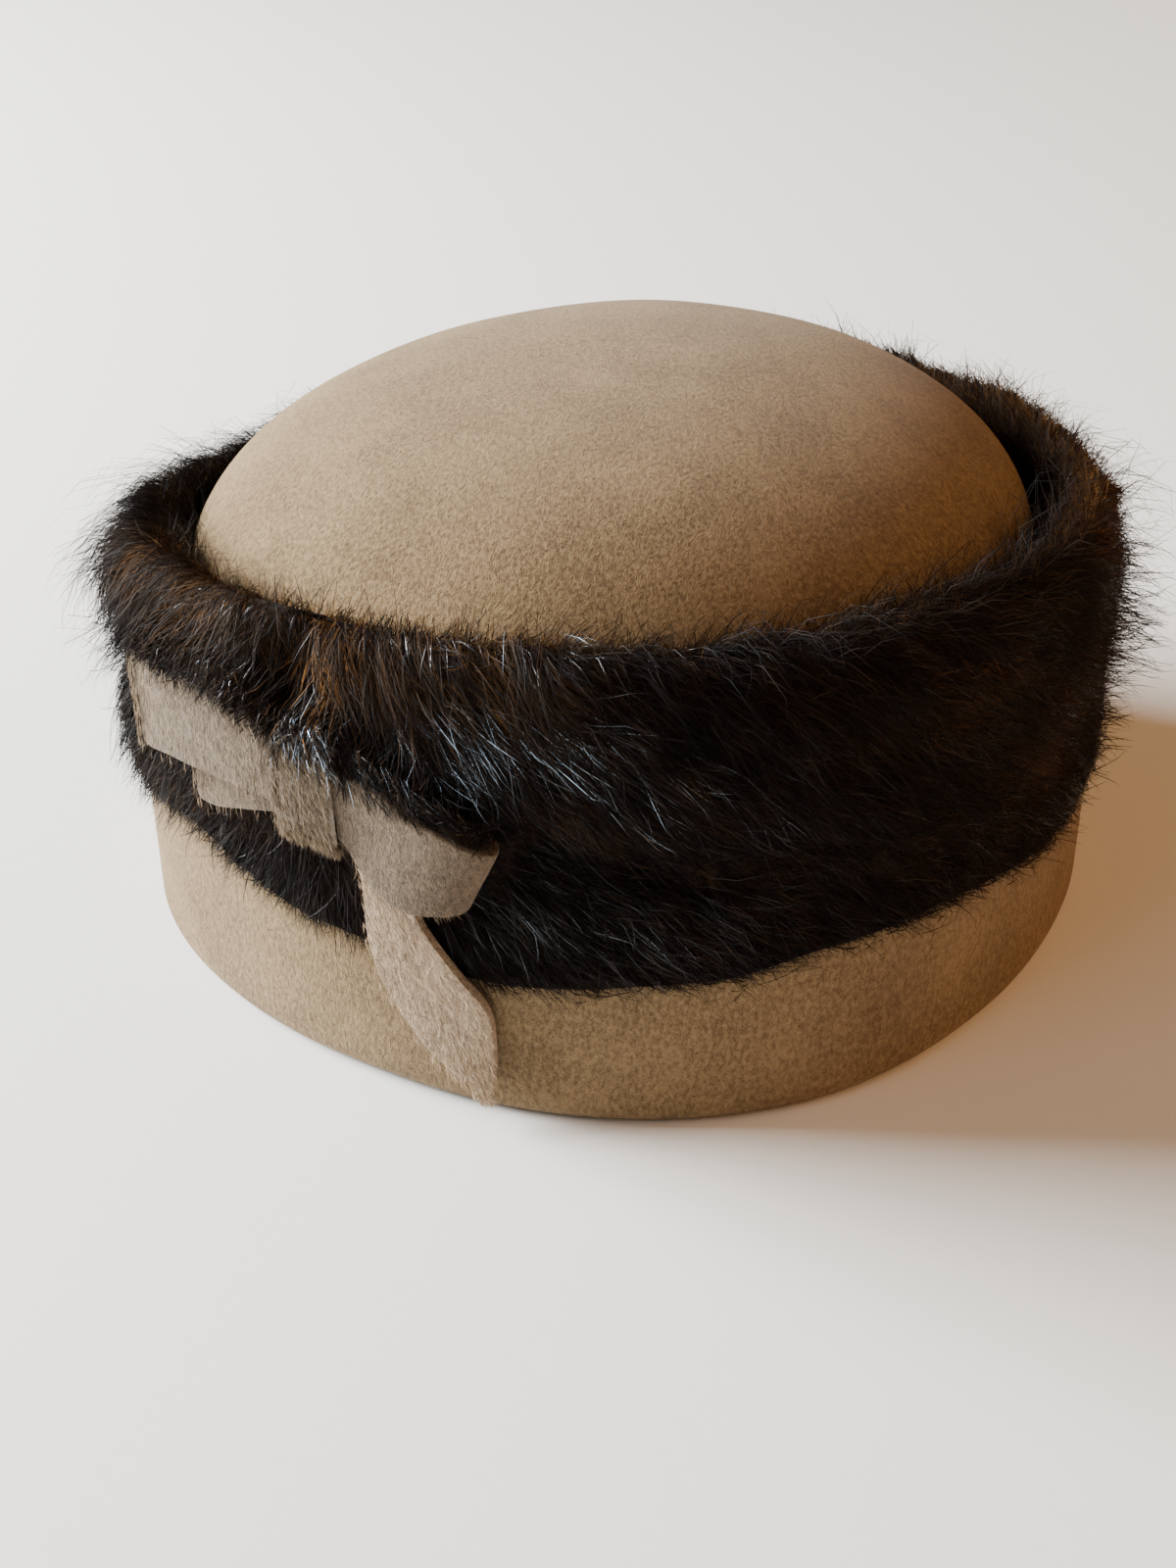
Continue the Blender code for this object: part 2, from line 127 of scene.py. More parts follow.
RIGHT_LOOP = (
    Cut(0.010, 0.58, 0.010, -0.05, 2.00),
    Cut(0.090, 0.60, 0.085, -0.10, 2.05),
    Cut(0.190, 0.50, 0.150, -0.42, 2.30),
    Cut(0.290, 0.32, 0.232, -0.60, 2.55),
    Cut(0.375, 0.16, 0.305, -0.58, 2.30),
    Cut(0.404, 0.12, 0.334, -0.56, 1.80),
    Cut(0.413, 0.10, 0.343, -0.54, 1.15),
    Cut(0.404, 0.12, 0.334, -0.56, 0.50),
    Cut(0.375, 0.16, 0.305, -0.56, 0.05),
    Cut(0.290, 0.32, 0.232, -0.50, 0.00),
    Cut(0.190, 0.46, 0.170, -0.26, 0.00),
    Cut(0.090, 0.50, 0.090, -0.08, 0.00),
    Cut(0.010, 0.50, 0.010, -0.05, 0.00),
)
RIGHT_TAIL = (
    Cut(0.070, -0.12, 0.185, -0.10, 1.00),
    Cut(0.090, -0.42, 0.210, -0.48, 1.00),
    Cut(0.100, -0.75, 0.240, -0.88, 0.95),
    Cut(0.104, -1.31, 0.318, -1.36, 0.55),
    Cut(0.137, -1.82, 0.386, -1.74, 0.10),
    Cut(0.232, -2.32, 0.404, -2.08, 0.15),
    Cut(0.308, -2.54, 0.404, -2.42, 0.35),
    Cut(0.378, -2.70, 0.398, -2.68, 0.60),
)
KNOT = (
    Cut(-0.050, 0.70, 0.050, 0.70, 0.60),
    Cut(-0.060, 0.74, 0.060, 0.73, 1.60),
    Cut(-0.068, 0.71, 0.064, 0.69, 2.70),
    Cut(-0.074, 0.60, 0.070, 0.56, 3.05),
    Cut(-0.076, 0.26, 0.074, 0.22, 3.10),
    Cut(-0.074, -0.02, 0.078, -0.06, 3.05),
    Cut(-0.070, -0.14, 0.074, -0.18, 2.70),
    Cut(-0.066, -0.18, 0.070, -0.22, 1.60),
    Cut(-0.056, -0.17, 0.060, -0.21, 0.60),
)


def length(name, description, default):
    """A size that a user may change."""
    return bpy.props.FloatProperty(name=name, description=description, default=default, unit="LENGTH",
                                   precision=4)


def power(name, description, default):
    """A light's power that a user may change."""
    return bpy.props.FloatProperty(name=name, description=description, default=default, unit="POWER")


def share(name, description, default):
    """A plain number that a user may change."""
    return bpy.props.FloatProperty(name=name, description=description, default=default, subtype="FACTOR")


def colour(name, description, default):
    """A colour that a user may change."""
    return bpy.props.FloatVectorProperty(name=name, description=description, default=default, size=3,
                                         subtype="COLOR", min=0.0, max=1.0)


class HatFelt(bpy.types.PropertyGroup):
    """Sizes and colours of the felt crown and cuff"""

    hem_radius: length("Head opening", "Mean radius inside the hem", 0.0855)
    crown_wall: length("Crown wall", "Thickness of the crown's felt", 0.0022)
    crown_height: length("Crown height", "Height of the dome's top", 0.1166)
    dome_radius: length("Dome radius", "Mean radius of the dome where it is widest", 0.0854)
    dome_widest: length("Dome's widest line", "Height at which the dome is widest", 0.074)
    dome_fullness: share("Dome fullness", "2 is an ellipse, more is a fuller bubble", 2.31)
    dome_oval: share("Dome oval", "How far the dome is longer than it is wide", 0.064)
    cuff_radius: length("Cuff radius", "Mean radius of the cuff's outer face at its foot", 0.0965)
    cuff_height: length("Cuff height", "Height of the cuff's top edge, under the fur", 0.072)
    cuff_wall: length("Cuff wall", "Thickness of the cuff's felt", 0.0020)
    cuff_taper: length("Cuff taper", "How much narrower the cuff is at its top edge", 0.0010)
    cuff_upright: length("Cuff upright", "Height from which the cuff narrows", 0.034)
    cuff_oval: share("Cuff oval", "How far the cuff is longer than it is wide", 0.046)
    fold_round: length("Fold rounding", "Rounding of the outer fold", 0.0040)
    hem_height: length("Hem height", "Height of the hem turned up inside", 0.016)
    light: colour("Light felt", "Lighter fibres of the taupe felt", (0.272, 0.186, 0.092))
    dark: colour("Dark felt", "Darker fibres of the taupe felt", (0.078, 0.045, 0.019))


class HatFur(bpy.types.PropertyGroup):
    """Sizes and colours of the fur band"""

    depth: length("Pelt depth", "How far the dense fur stands out from the cuff", 0.0032)
    top: length("Fur top", "Height of the roll's crest where it is highest", 0.1025)
    reach: length("Roll reach", "How far the fur rolls in behind the cuff's edge", 0.0180)
    lip: length("Roll lip", "How far the roll hangs down there", 0.0040)
    space: length("Dome gap", "Space between the roll and the dome", 0.0010)
    hide: length("Hide depth", "How far the hide lies under the hair's dense face", 0.0012)
    guard: length("Guard hair", "Length of the long shining hairs", 0.0160)
    under: length("Underfur", "Length of the short dense hairs", 0.0085)
    sable: colour("Sable", "Near-black tips of the guard hairs", (0.0052, 0.0041, 0.0042))
    brown: colour("Brown", "Reddish brown of the underfur", (0.040, 0.022, 0.012))
    # Amber also paints the glow of backlit hair at the back right
    amber: colour("Amber", "Orange brown where the underfur shows", (0.17, 0.078, 0.022))
    # silver is a painted highlight: the pale blue colour painted along the middle of the shining hairs, in
    # place of their glints
    silver: colour("Silver", "Shine along the longest hairs", (0.62, 0.80, 0.98))


class HatBow(bpy.types.PropertyGroup):
    """Sizes and colours of the flat felt bow"""

    strip: length("Strip thickness", "Thickness of the bow's felt", 0.0018)
    width: length("Strip width", "Width of the felt strip", 0.021)
    span: length("Bow span", "Length of the bow along the hat", 0.079)
    bearing: share("Bow bearing", "Where the bow's middle lies round the hat, in degrees", 290.5)
    height: length("Bow height", "Height of the bow's middle", 0.064)
    seat: length("Bow seat", "Depth of the fur that the bow presses flat", 0.0020)
    clear: length("Layer gap", "Space between two layers of the bow", 0.0003)
    light: colour("Light trim", "Lighter fibres of the bow's felt", (0.235, 0.174, 0.114))
    dark: colour("Dark trim", "Darker fibres of the bow's felt", (0.064, 0.043, 0.027))


class HatStage(bpy.types.PropertyGroup):
    """The floor, the light and the camera"""

    floor: colour("Floor", "Colour of the plain floor", (0.80, 0.78, 0.74))
    key_light: power("Key light", "Power of the large soft light", 140.0)
    warm_light: power("Warm light", "Power of the warm side light", 18.0)
    cool_light: power("Cool light", "Power of the cool front light", 2.4)
    ambient: share("Ambient", "Strength of the light from all round", 0.19)
    lens: bpy.props.FloatProperty(name="Lens", description="Focal length", default=51.75, unit="CAMERA")


def felt():
    """The felt's sizes and colours."""
    return bpy.context.scene.hat_felt


def fur():
    """The fur's sizes and colours."""
    return bpy.context.scene.hat_fur


def bow():
    """The bow's sizes and colours."""
    return bpy.context.scene.hat_bow


def stage():
    """The stage's settings."""
    return bpy.context.scene.hat_stage


# Shapes shared by the pieces. Each works on numbers and on arrays of them.


def ease(part):
    """A smooth step from 0 to 1."""
    part = np.clip(part, 0.0, 1.0)
    return part * part * (3.0 - 2.0 * part)


def turn_between(bearing, other):
    """The signed angle from one bearing to another, between -180 and 180."""
    return (bearing - other + 180.0) % 360.0 - 180.0


def near(bearing, middle, spread):
    """1 at a bearing, falling smoothly to 0 on both sides of it."""
    return np.exp(-((turn_between(bearing, middle) / spread) ** 2))


def oval(bearing, part):
    """An oval's radius as a share of its mean, longest along Y."""
    return 1.0 - part * np.cos(np.radians(2.0 * bearing))


def cuff_plan(bearing):
    """The cuff's radius as a share of its mean, with its swellings and flats."""
    swelling = sum(s.share * near(bearing, s.bearing, s.spread) for s in SWELLS)
    return oval(bearing, felt().cuff_oval) + swelling


def cuff_mean(height):
    """Mean radius of the cuff's outer face, upright below and narrower under the fur."""
    f = felt()
    return f.cuff_radius - f.cuff_taper * ease((height - f.cuff_upright) / (f.cuff_height - f.cuff_upright))


def cuff_face(bearing, height):
    """Radius of the cuff's outer face."""
    return cuff_mean(height) * cuff_plan(bearing)


def crown_outer():
    """Radius of the crown's outer face at its foot, from the hem that it stands round."""
    f = felt()
    return f.hem_radius + f.cuff_wall + bow().clear + f.crown_wall


def crown_lean(height):
    """0 at the foot, where the crown follows the hem, and 1 from its widest line up."""
    f = felt()
    return ease((height - f.hem_height) / (f.dome_widest - f.hem_height))


def crown_plan(bearing, height):
    """The crown's radius as a share of its mean: the cuff's outline below, a plain oval above."""
    lean = crown_lean(height)
    return (1.0 - lean) * cuff_plan(bearing) + lean * oval(bearing, felt().dome_oval)


def crown_face(bearing, height):
    """Radius of the crown's outer face along one bearing."""
    f = felt()
    lean = crown_lean(height)
    mean = crown_outer() + (f.dome_radius - crown_outer()) * lean
    rise = np.clip((height - f.dome_widest) / (f.crown_height - f.dome_widest), 0.0, 1.0)
    dome = f.dome_radius * (1.0 - rise * rise) ** (1.0 / f.dome_fullness)
    mean = np.where(height > f.dome_widest, dome, mean)
    angle = np.radians(bearing)
    shift = DOME_SHIFT[0] * np.cos(angle) + DOME_SHIFT[1] * np.sin(angle)
    return mean * crown_plan(bearing, height) + shift * lean


def place(bearing, radius, height):
    """A point from its bearing, radius and height about the hat's axis."""
    angle = math.radians(bearing)
    return Vector((radius * math.cos(angle), radius * math.sin(angle), height)) + AXIS


# Materials


class Value:
    """A shader socket that takes part in expressions: each operator adds a Math node."""

    def __init__(self, finish, socket):
        self.finish = finish
        self.socket = socket

    def maths(self, operation, first, second=0.0):
        return self.finish.node("ShaderNodeMath", {"operation": operation}, {0: first, 1: second})

    def __add__(self, other):
        return self.maths("ADD", self, other)

    def __radd__(self, other):
        return self.maths("ADD", other, self)

    def __rsub__(self, other):
        return self.maths("SUBTRACT", other, self)

    def __mul__(self, other):
        return self.maths("MULTIPLY", self, other)

    def __rmul__(self, other):
        return self.maths("MULTIPLY", other, self)


class Finish:
    """A material under construction round its Principled shader."""

    def __init__(self, name, **constants):
        self.material = bpy.data.materials.new(name)
        self.material.use_nodes = True
        self.tree = self.material.node_tree
        self.shader = self.tree.nodes["Principled BSDF"]
        for socket, value in constants.items():
            self.shader.inputs[socket.replace("_", " ")].default_value = value

    def node(self, kind, settings=None, inputs=None, output=0):
        """Add a node, set it up, link or fill its sockets, and return one of its outputs."""
        made = self.tree.nodes.new(kind)
        for setting, value in (settings or {}).items():
            if setting == "stops":
                self.set_stops(made.color_ramp, value)
            else:
                setattr(made, setting, value)
        for socket, value in (inputs or {}).items():
            self.feed(made.inputs[socket], value)
        return Value(self, made.outputs[output])

    def feed(self, socket, value):
        """Link a value to a socket, or set the socket to a number or colour."""
        if isinstance(value, Value):
            self.tree.links.new(value.socket, socket)
        elif socket.type == "RGBA":
            socket.default_value = (*value[:3], 1.0)
        else:
            socket.default_value = value

    @staticmethod
    def set_stops(ramp, stops):
        """Give a colour ramp its stops."""
        while len(ramp.elements) > 1:
            ramp.elements.remove(ramp.elements[-1])
        ramp.elements[0].position = stops[0][0]
        ramp.elements[0].color = (*stops[0][1], 1.0)
        for position, value in stops[1:]:
            ramp.elements.new(position).color = (*value, 1.0)

    def place(self, scale=(1.0, 1.0, 1.0)):
        """Places on the piece about the hat's axis, stretched."""
        where = self.node("ShaderNodeTexCoord", output="Object")
        return self.node("ShaderNodeMapping", {}, {"Vector": where, "Scale": scale,
                                                   "Location": (-AXIS.x, -AXIS.y, 0.0)})

    def hair_map(self):
        """A hair's own map: across, its tone, its warmth, or on shining hairs the strength of their painted
        glint; along, the place from 0 at the root to 1.
        """
        spot = self.node("ShaderNodeUVMap", {"uv_map": HAIR_MAP})
        across = self.node("ShaderNodeSeparateXYZ", {}, {0: spot})
        return across, Value(self, across.socket.node.outputs[1])

    def ramp(self, part, stops):
        """A colour from a ramp."""
        return self.node("ShaderNodeValToRGB", {"stops": stops}, {"Fac": part})

    def noise(self, where, size, detail=2.0, roughness=0.5):
        """Noise from 0 to 1 whose grains are about size across."""
        return self.node("ShaderNodeTexNoise", {}, {"Vector": where, "Scale": 1.0 / size, "Detail": detail,
                                                    "Roughness": roughness}, output="Fac")

    def steps(self, value, low, high):
        """0 below low and 1 above high, smooth between."""
        return self.node("ShaderNodeMapRange", {"interpolation_type": "SMOOTHSTEP"},
                         {"Value": value, "From Min": low, "From Max": high})

    def mix(self, part, first, second):
        """A colour between two."""
        return self.node("ShaderNodeMix", {"data_type": "RGBA"}, {0: part, 6: first, 7: second}, output=2)

    def bump(self, height, strength, distance):
        """A bumped normal."""
        return self.node("ShaderNodeBump", {}, {"Height": height, "Strength": strength,
                                                "Distance": distance}, output="Normal")

    def finish(self, **links):
        """Feed the shader and return the material."""
        for socket, value in links.items():
            self.feed(self.shader.inputs[socket.replace("_", " ")], value)
        return self.material


def scaled(shade, part):
    """A lighter or darker shade of a colour."""
    return tuple(part * c for c in shade)


def felt_finish(name, light, dark, nap_height, grain=0.0009):
    """Short-napped felt: mottled fibres, longer along the nap, with worn paler patches."""
    made = Finish(name, Sheen_Weight=0.14, Sheen_Roughness=0.45, Sheen_Tint=(0.95, 0.88, 0.78, 1.0),
                  Specular_IOR_Level=0.2)
    nap = made.place(scale=(1.0, 1.0, 0.60))
    mottle = made.noise(nap, grain, 3.0, 0.65)
    fibre = made.noise(nap, grain * 0.28, 2.0, 0.6)
    cloud = made.noise(made.place(), 0.018, 2.0, 0.5)
    tone = made.steps(mottle * 0.55 + fibre * 0.45 + cloud * 0.20, 0.38, 0.82)
    skin = made.mix(tone, dark, light)
    relief = made.bump(mottle * 0.6 + fibre * 0.4, 0.85, nap_height)
    rough = 0.97 - tone * 0.10
    return made.finish(Base_Color=skin, Roughness=rough, Normal=relief)


def hide_finish():
    """The fur's ground between the hairs: dark, with the reddish brown of the underfur."""
    f = fur()
    made = Finish("fur_ground", Specular_IOR_Level=0.05)
    where = made.place()
    tuft = made.noise(where, 0.0016, 3.0, 0.6)
    cloud = made.noise(where, 0.016, 2.0, 0.5)
    skin = made.mix(made.steps(tuft * 0.5 + cloud * 0.6, 0.45, 0.85), f.sable, f.brown)
    return made.finish(Base_Color=skin, Roughness=0.8 + tuft * 0.15, Normal=made.bump(tuft, 0.8, 0.0012))


def hair_finish(name, gloss, shine):
    """Hair coloured by its own map: warmth across, root to tip along."""
    f = fur()
    made = Finish(name, Specular_IOR_Level=shine)
    warm, along = made.hair_map()
    root = made.ramp(warm, ((0.0, f.sable), (0.30, f.brown), (0.62, f.amber), (1.0, f.amber)))
    tip = made.ramp(warm, ((0.0, scaled(f.sable, 0.5)), (0.30, f.sable), (0.60, f.brown), (0.85, f.amber),
                           (1.0, f.amber)))
    skin = made.mix(made.steps(along, 0.15, 0.80), root, tip)
    return made.finish(Base_Color=skin, Roughness=gloss + 0.12 * (1.0 - along))


def nap_finish(name, light, dark):
    """Short felt hairs, coloured from the dark to the light fibres by their own map."""
    made = Finish(name, Specular_IOR_Level=0.1)
    tone, _ = made.hair_map()
    skin = made.ramp(tone, ((0.0, dark), (0.6, light), (1.0, scaled(light, 1.25))))
    return made.finish(Base_Color=skin, Roughness=0.9)


def glint_finish():
    """Long hairs with a painted highlight: a light colour painted along their middle, dark at the root and
    the tip, over a partly metallic shader that adds some real shine.
    """
    f = fur()
    made = Finish("glinting_hair", Metallic=0.55, Specular_IOR_Level=0.5)
    shine, along = made.hair_map()
    # bright is the band along each hair where the highlight is painted, and strength ramps it from none to
    # the full painted glint colour
    bright = made.steps(along, 0.25, 0.55) * (1.0 - made.steps(along, 0.70, 1.0))
    strength = made.ramp(shine, ((0.0, f.sable), (0.22, (0.007, 0.006, 0.006)), (0.42, (0.11, 0.12, 0.135)),
                                 (0.72, f.silver), (1.0, f.silver)))
    skin = made.mix(bright, f.sable, strength)
    return made.finish(Base_Color=skin, Roughness=0.45 - 0.18 * bright)


def seated(name, data, surface, slot, node=""):
    """A smooth shaded piece with this mesh, riding on the hat, in place of a CAD node where one is named."""
    data.shade_smooth()
    data.materials.append(surface)
    made = bpy.data.objects.new(name, data)
    bpy.context.scene.collection.objects.link(made)
    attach(made, "root")
    if node:
        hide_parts(node)
    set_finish(made, slot)
    return made


def finished(name, mesh, surface, slot, node):
    """Turn a bmesh into a piece that replaces a CAD node."""
    data = bpy.data.meshes.new(name)
    mesh.to_mesh(data)
    mesh.free()
    return seated(name, data, surface, slot, node)


def pushed(mesh, amount, size):
    """Move a mesh's faces in and out a little, as hand-blocked felt is never quite even."""
    mesh.normal_update()
    for vert in mesh.verts:
        vert.co += vert.normal * (amount * noise.noise(vert.co / size))


# Crown and cuff

ROUND_STEPS = 192        # steps round the hat
DOME_ROWS = 32
WALL_ROWS = 16
CUFF_ROWS = 12
HEM_ROUND = 0.0004       # rounding of the hem's cut edge


def crown_profile(inset):
    """One face of the crown from its top down to its foot, set in by the wall where asked."""
    f = felt()
    points = []
    for row in range(DOME_ROWS + 1):
        turn = 0.5 * math.pi * row / DOME_ROWS
        radius = (f.dome_radius - inset) * math.sin(turn) ** (2.0 / f.dome_fullness)
        points.append((radius, f.dome_widest + (f.crown_height - inset - f.dome_widest) * math.cos(turn)))
    foot = f.cuff_wall + bow().clear
    for row in range(1, WALL_ROWS + 1):
        height = f.dome_widest + (foot - f.dome_widest) * row / WALL_ROWS
        mean = crown_outer() + (f.dome_radius - crown_outer()) * float(crown_lean(height))
        points.append((mean - inset, height))
    return points


def turned(profile, steps):
    """A closed solid of revolution from a profile that starts and ends on the axis."""
    mesh = bmesh.new()
    verts = [mesh.verts.new((radius, 0.0, height)) for radius, height in profile]
    for pair in zip(verts, verts[1:]):
        mesh.edges.new(pair)
    bmesh.ops.spin(mesh, geom=mesh.verts[:] + mesh.edges[:], cent=(0, 0, 0), axis=(0, 0, 1),
                   angle=math.tau, steps=steps, use_merge=True)
    bmesh.ops.remove_doubles(mesh, verts=mesh.verts, dist=0.00001)
    bmesh.ops.recalc_face_normals(mesh, faces=mesh.faces)
    return mesh


def cuff_section(bearing):
    """The cuff cut through: outer wall, round fold, flat foot, and the hem turned up inside the crown."""
    f = felt()
    hem, hem_back = f.hem_radius, f.hem_radius + f.cuff_wall
    fold = (f.cuff_radius - f.fold_round, f.fold_round)
    heights = [f.cuff_height + (0.006 - f.cuff_height) * row / CUFF_ROWS for row in range(CUFF_ROWS + 1)]
    points = [(float(cuff_mean(height)), height) for height in heights]
    points += arc(fold, f.fold_round, 0.0, -90.0, 10)
    points += arc((hem_back, f.cuff_wall), f.cuff_wall, -90.0, -180.0, 6)
    points += [(hem, 0.009), (hem, f.hem_height - HEM_ROUND), (hem + HEM_ROUND, f.hem_height),
               (hem_back, f.hem_height), (hem_back, f.cuff_wall)]
    points += arc(fold, f.fold_round - f.cuff_wall, -90.0, 0.0, 5)
    points += [(float(cuff_mean(height)) - f.cuff_wall, height) for height in heights[::-3]]
    return [(radius * float(cuff_plan(bearing)), height) for radius, height in points]


def arc(centre, radius, start, stop, steps):
    """Points of a round corner in a section, angles in degrees."""
    turns = [math.radians(start + (stop - start) * step / steps) for step in range(steps + 1)]
    return [(centre[0] + radius * math.cos(t), centre[1] + radius * math.sin(t)) for t in turns]


def ring(section, steps):
    """A closed ring, bridged from its upright section at each bearing to the next."""
    mesh = bmesh.new()
    loops = []
    for step in range(steps):
        bearing = 360.0 * step / steps
        verts = [mesh.verts.new(place(bearing, *point)) for point in section(bearing)]
        loops.append([mesh.edges.new(pair) for pair in zip(verts, verts[1:] + verts[:1])])
    for here, following in zip(loops, loops[1:] + loops[:1]):
        bmesh.ops.bridge_loops(mesh, edges=here + following)
    bmesh.ops.recalc_face_normals(mesh, faces=mesh.faces)
    return mesh


class HAT_OT_crown(bpy.types.Operator):
    """Make the domed felt crown"""

    bl_idname = "hat.crown"
    bl_label = "Crown"

    def execute(self, context):
        f = felt()
        profile = crown_profile(0.0) + crown_profile(f.crown_wall)[::-1]
        mesh = turned(profile, ROUND_STEPS)
        for vert in mesh.verts:
            radius = math.hypot(vert.co.x, vert.co.y)
            bearing = math.degrees(math.atan2(vert.co.y, vert.co.x))
            shift = Vector((*DOME_SHIFT, 0.0)) * float(crown_lean(vert.co.z))
            plan = float(crown_plan(bearing, vert.co.z))
            vert.co = place(bearing, radius * plan, vert.co.z) + shift
        pushed(mesh, 0.0004, 0.035)
        surface = felt_finish("velour_felt", f.light, f.dark, 0.0009)
        finished("felt_crown", mesh, surface, "taupe_felt", "crown")
        return {"FINISHED"}


class HAT_OT_cuff(bpy.types.Operator):
    """Make the folded felt cuff"""

    bl_idname = "hat.cuff"
    bl_label = "Cuff"

    def execute(self, context):
        mesh = ring(cuff_section, ROUND_STEPS)
        pushed(mesh, 0.0003, 0.030)
        for vert in mesh.verts:
            vert.co.z = max(vert.co.z, 0.0)
        finished("felt_cuff", mesh, bpy.data.materials["velour_felt"], "taupe_felt", "cuff")
        return {"FINISHED"}


# Fur

HAIR_MAP = "OFBake"
MAP_WIDTH = 0.008          # width of a hair on its map
SKIN_STEP = 0.001          # pitch of the combed surface up its section
SKIN_BELOW = 0.016         # how far it goes on under a tier's lower edge
SKIN_ROWS = 112
PRESS_PAST = 2.0           # degrees past the bow's ends where the fur is pressed flat
PRESS_EASE = 6.0           # degrees over which it rises again


def edge_share(bearing, column):
    """A column of the fur's table, eased between its bearings."""
    bearing = np.asarray(bearing, float) % 360.0
    found = np.zeros_like(bearing)
    for here, after in zip(EDGES, EDGES[1:] + EDGES[:1]):
        stretch = (after.bearing - here.bearing) % 360.0
        along = (bearing - here.bearing) % 360.0
        start, stop = getattr(here, column), getattr(after, column)
        found = np.where(along < stretch, start + (stop - start) * ease(along / stretch), found)
    return found


def edge_height(bearing, column):
    """Height of one of the fur's edges."""
    return fur().top * edge_share(bearing, column)


def arc_turn(along):
    """The bearing's change for a place along the bow."""
    return math.degrees(along * bow().span / felt().cuff_radius)


def pressed(bearing):
    """1 where the bow or its tail lies on the fur, 0 clear of it."""
    left = arc_turn(LEFT_LOOP[6].along_1) - PRESS_PAST
    right = arc_turn(RIGHT_LOOP[6].along_1) + PRESS_PAST
    turn = turn_between(bearing, bow().bearing)
    return ease((turn - left) / PRESS_EASE + 1.0) * ease((right - turn) / PRESS_EASE + 1.0)


def fur_inner(bearing, height):
    """Radius of the fur's inner side, held off the crown."""
    f = fur()
    reach = cuff_face(bearing, height) - felt().cuff_wall - f.reach * edge_share(bearing, "reach")
    return np.maximum(reach, crown_face(bearing, height) + f.space)


def pelt_depth(bearing):
    """How far the dense fur stands out."""
    return fur().depth + (bow().seat - fur().depth) * pressed(bearing)


# Slow swells and hollows of the dense fur: turns round the hat, waves per metre up, phase, height
Lump = namedtuple("Lump", "turns up phase high")
LUMPS = (Lump(23.0, 40.0, 0.4, 0.00065), Lump(37.0, -60.0, 2.1, 0.00055), Lump(61.0, 90.0, 4.0, 0.00035),
         Lump(13.0, -25.0, 1.2, 0.00060))
SEAM = (284.0, 0.084, 260.0)     # bearing, height and slant of the line where the fur's ends meet
SEAM_DEEP, SEAM_WIDE = 0.0026, 2.2
SHELF = (312.0, 18.0)            # where the upper tier stands out most over the lower, and its spread
SHELF_OUT, SHELF_IN = 0.0012, 0.0010
THIN = (50.0, 40.0)              # where the fur lies thinnest, and its spread
THIN_BY = 0.0016


def relief(bearing, height):
    """The dense fur's slow relief."""
    angle = np.radians(bearing)
    waves = sum(lump.high * np.sin(lump.turns * angle + lump.up * height * 2.0 * math.pi + lump.phase)
                for lump in LUMPS)
    line = SEAM[0] + (height - SEAM[1]) * SEAM[2]
    groove = SEAM_DEEP * near(bearing, line, SEAM_WIDE) * ease((height - 0.074) / 0.008)
    thin = THIN_BY * near(bearing, *THIN)
    return (waves * (1.0 - pressed(bearing)) - groove) - thin


def shelf(bearing):
    """How much the upper tier stands out over the lower one."""
    return near(bearing, *SHELF)


# The dense hair's face: how far it stands out, as a share of the pelt's depth, at shares of its height
UPPER_FACE = ((0.70, 0.00), (0.95, 0.20), (1.00, 0.50), (1.03, 0.75))
LOWER_FACE = ((0.30, 0.00), (0.70, 0.12), (0.85, 0.35), (0.90, 0.60), (0.80, 0.85), (0.60, 1.00))
# Angles over the roll, in degrees
ROLL_TURNS = (4, 20, 38, 56, 74, 90, 106, 124, 144, 162)


def upper_face(bearing, inset=0.0):
    """The upper tier's hair face from its lower edge up and over the roll, as rows of radius and height."""
    tier = edge_height(bearing, "tier")
    base = felt().cuff_height + bow().clear
    crest = edge_height(bearing, "crest")
    depth = pelt_depth(bearing)
    top = base + 0.5 * (crest - base)
    rows = []
    for stand, rise in UPPER_FACE:
        level = tier + rise * (top - tier)
        out = stand * depth - inset + relief(bearing, level) + SHELF_OUT * shelf(bearing) * (1.0 - rise)
        rows.append((cuff_face(bearing, level) + np.maximum(out, 2.0 * bow().clear), level))
    start = base + 0.3 * (crest - base)
    outer = cuff_face(bearing, start) + depth - inset
    inner = fur_inner(bearing, start) + inset
    for turn in ROLL_TURNS:
        angle = math.radians(turn)
        run = math.copysign(abs(math.cos(angle)) ** 0.8, math.cos(angle))
        radius = 0.5 * (outer + inner) + 0.5 * (outer - inner) * run
        height = start + (crest - inset - start) * math.sin(angle) ** 0.8
        radius = radius + relief(bearing, height) * (1.0 if turn < 90 else 0.0)
        rows.append((np.maximum(radius, crown_face(bearing, height) + fur().space), height))
    low = felt().cuff_height - fur().lip
    rows.append((fur_inner(bearing, low), low + 0.0 * tier))
    return rows


def lower_face(bearing, inset=0.0):
    """The lower tier's hair face from its lower edge up."""
    foot = edge_height(bearing, "lower")
    top = edge_height(bearing, "tier") - 2.0 * bow().clear
    rows = []
    for stand, rise in LOWER_FACE:
        level = foot + rise * (top - foot)
        out = stand * pelt_depth(bearing) - inset + relief(bearing + 7.0, level)
        out = np.maximum(out - SHELF_IN * shelf(bearing) * rise, 2.0 * bow().clear)
        rows.append((cuff_face(bearing, level) + out, level))
    return rows


def plain(rows):
    """Rows of one bearing as plain numbers."""
    return [(float(radius), float(height)) for radius, height in rows]


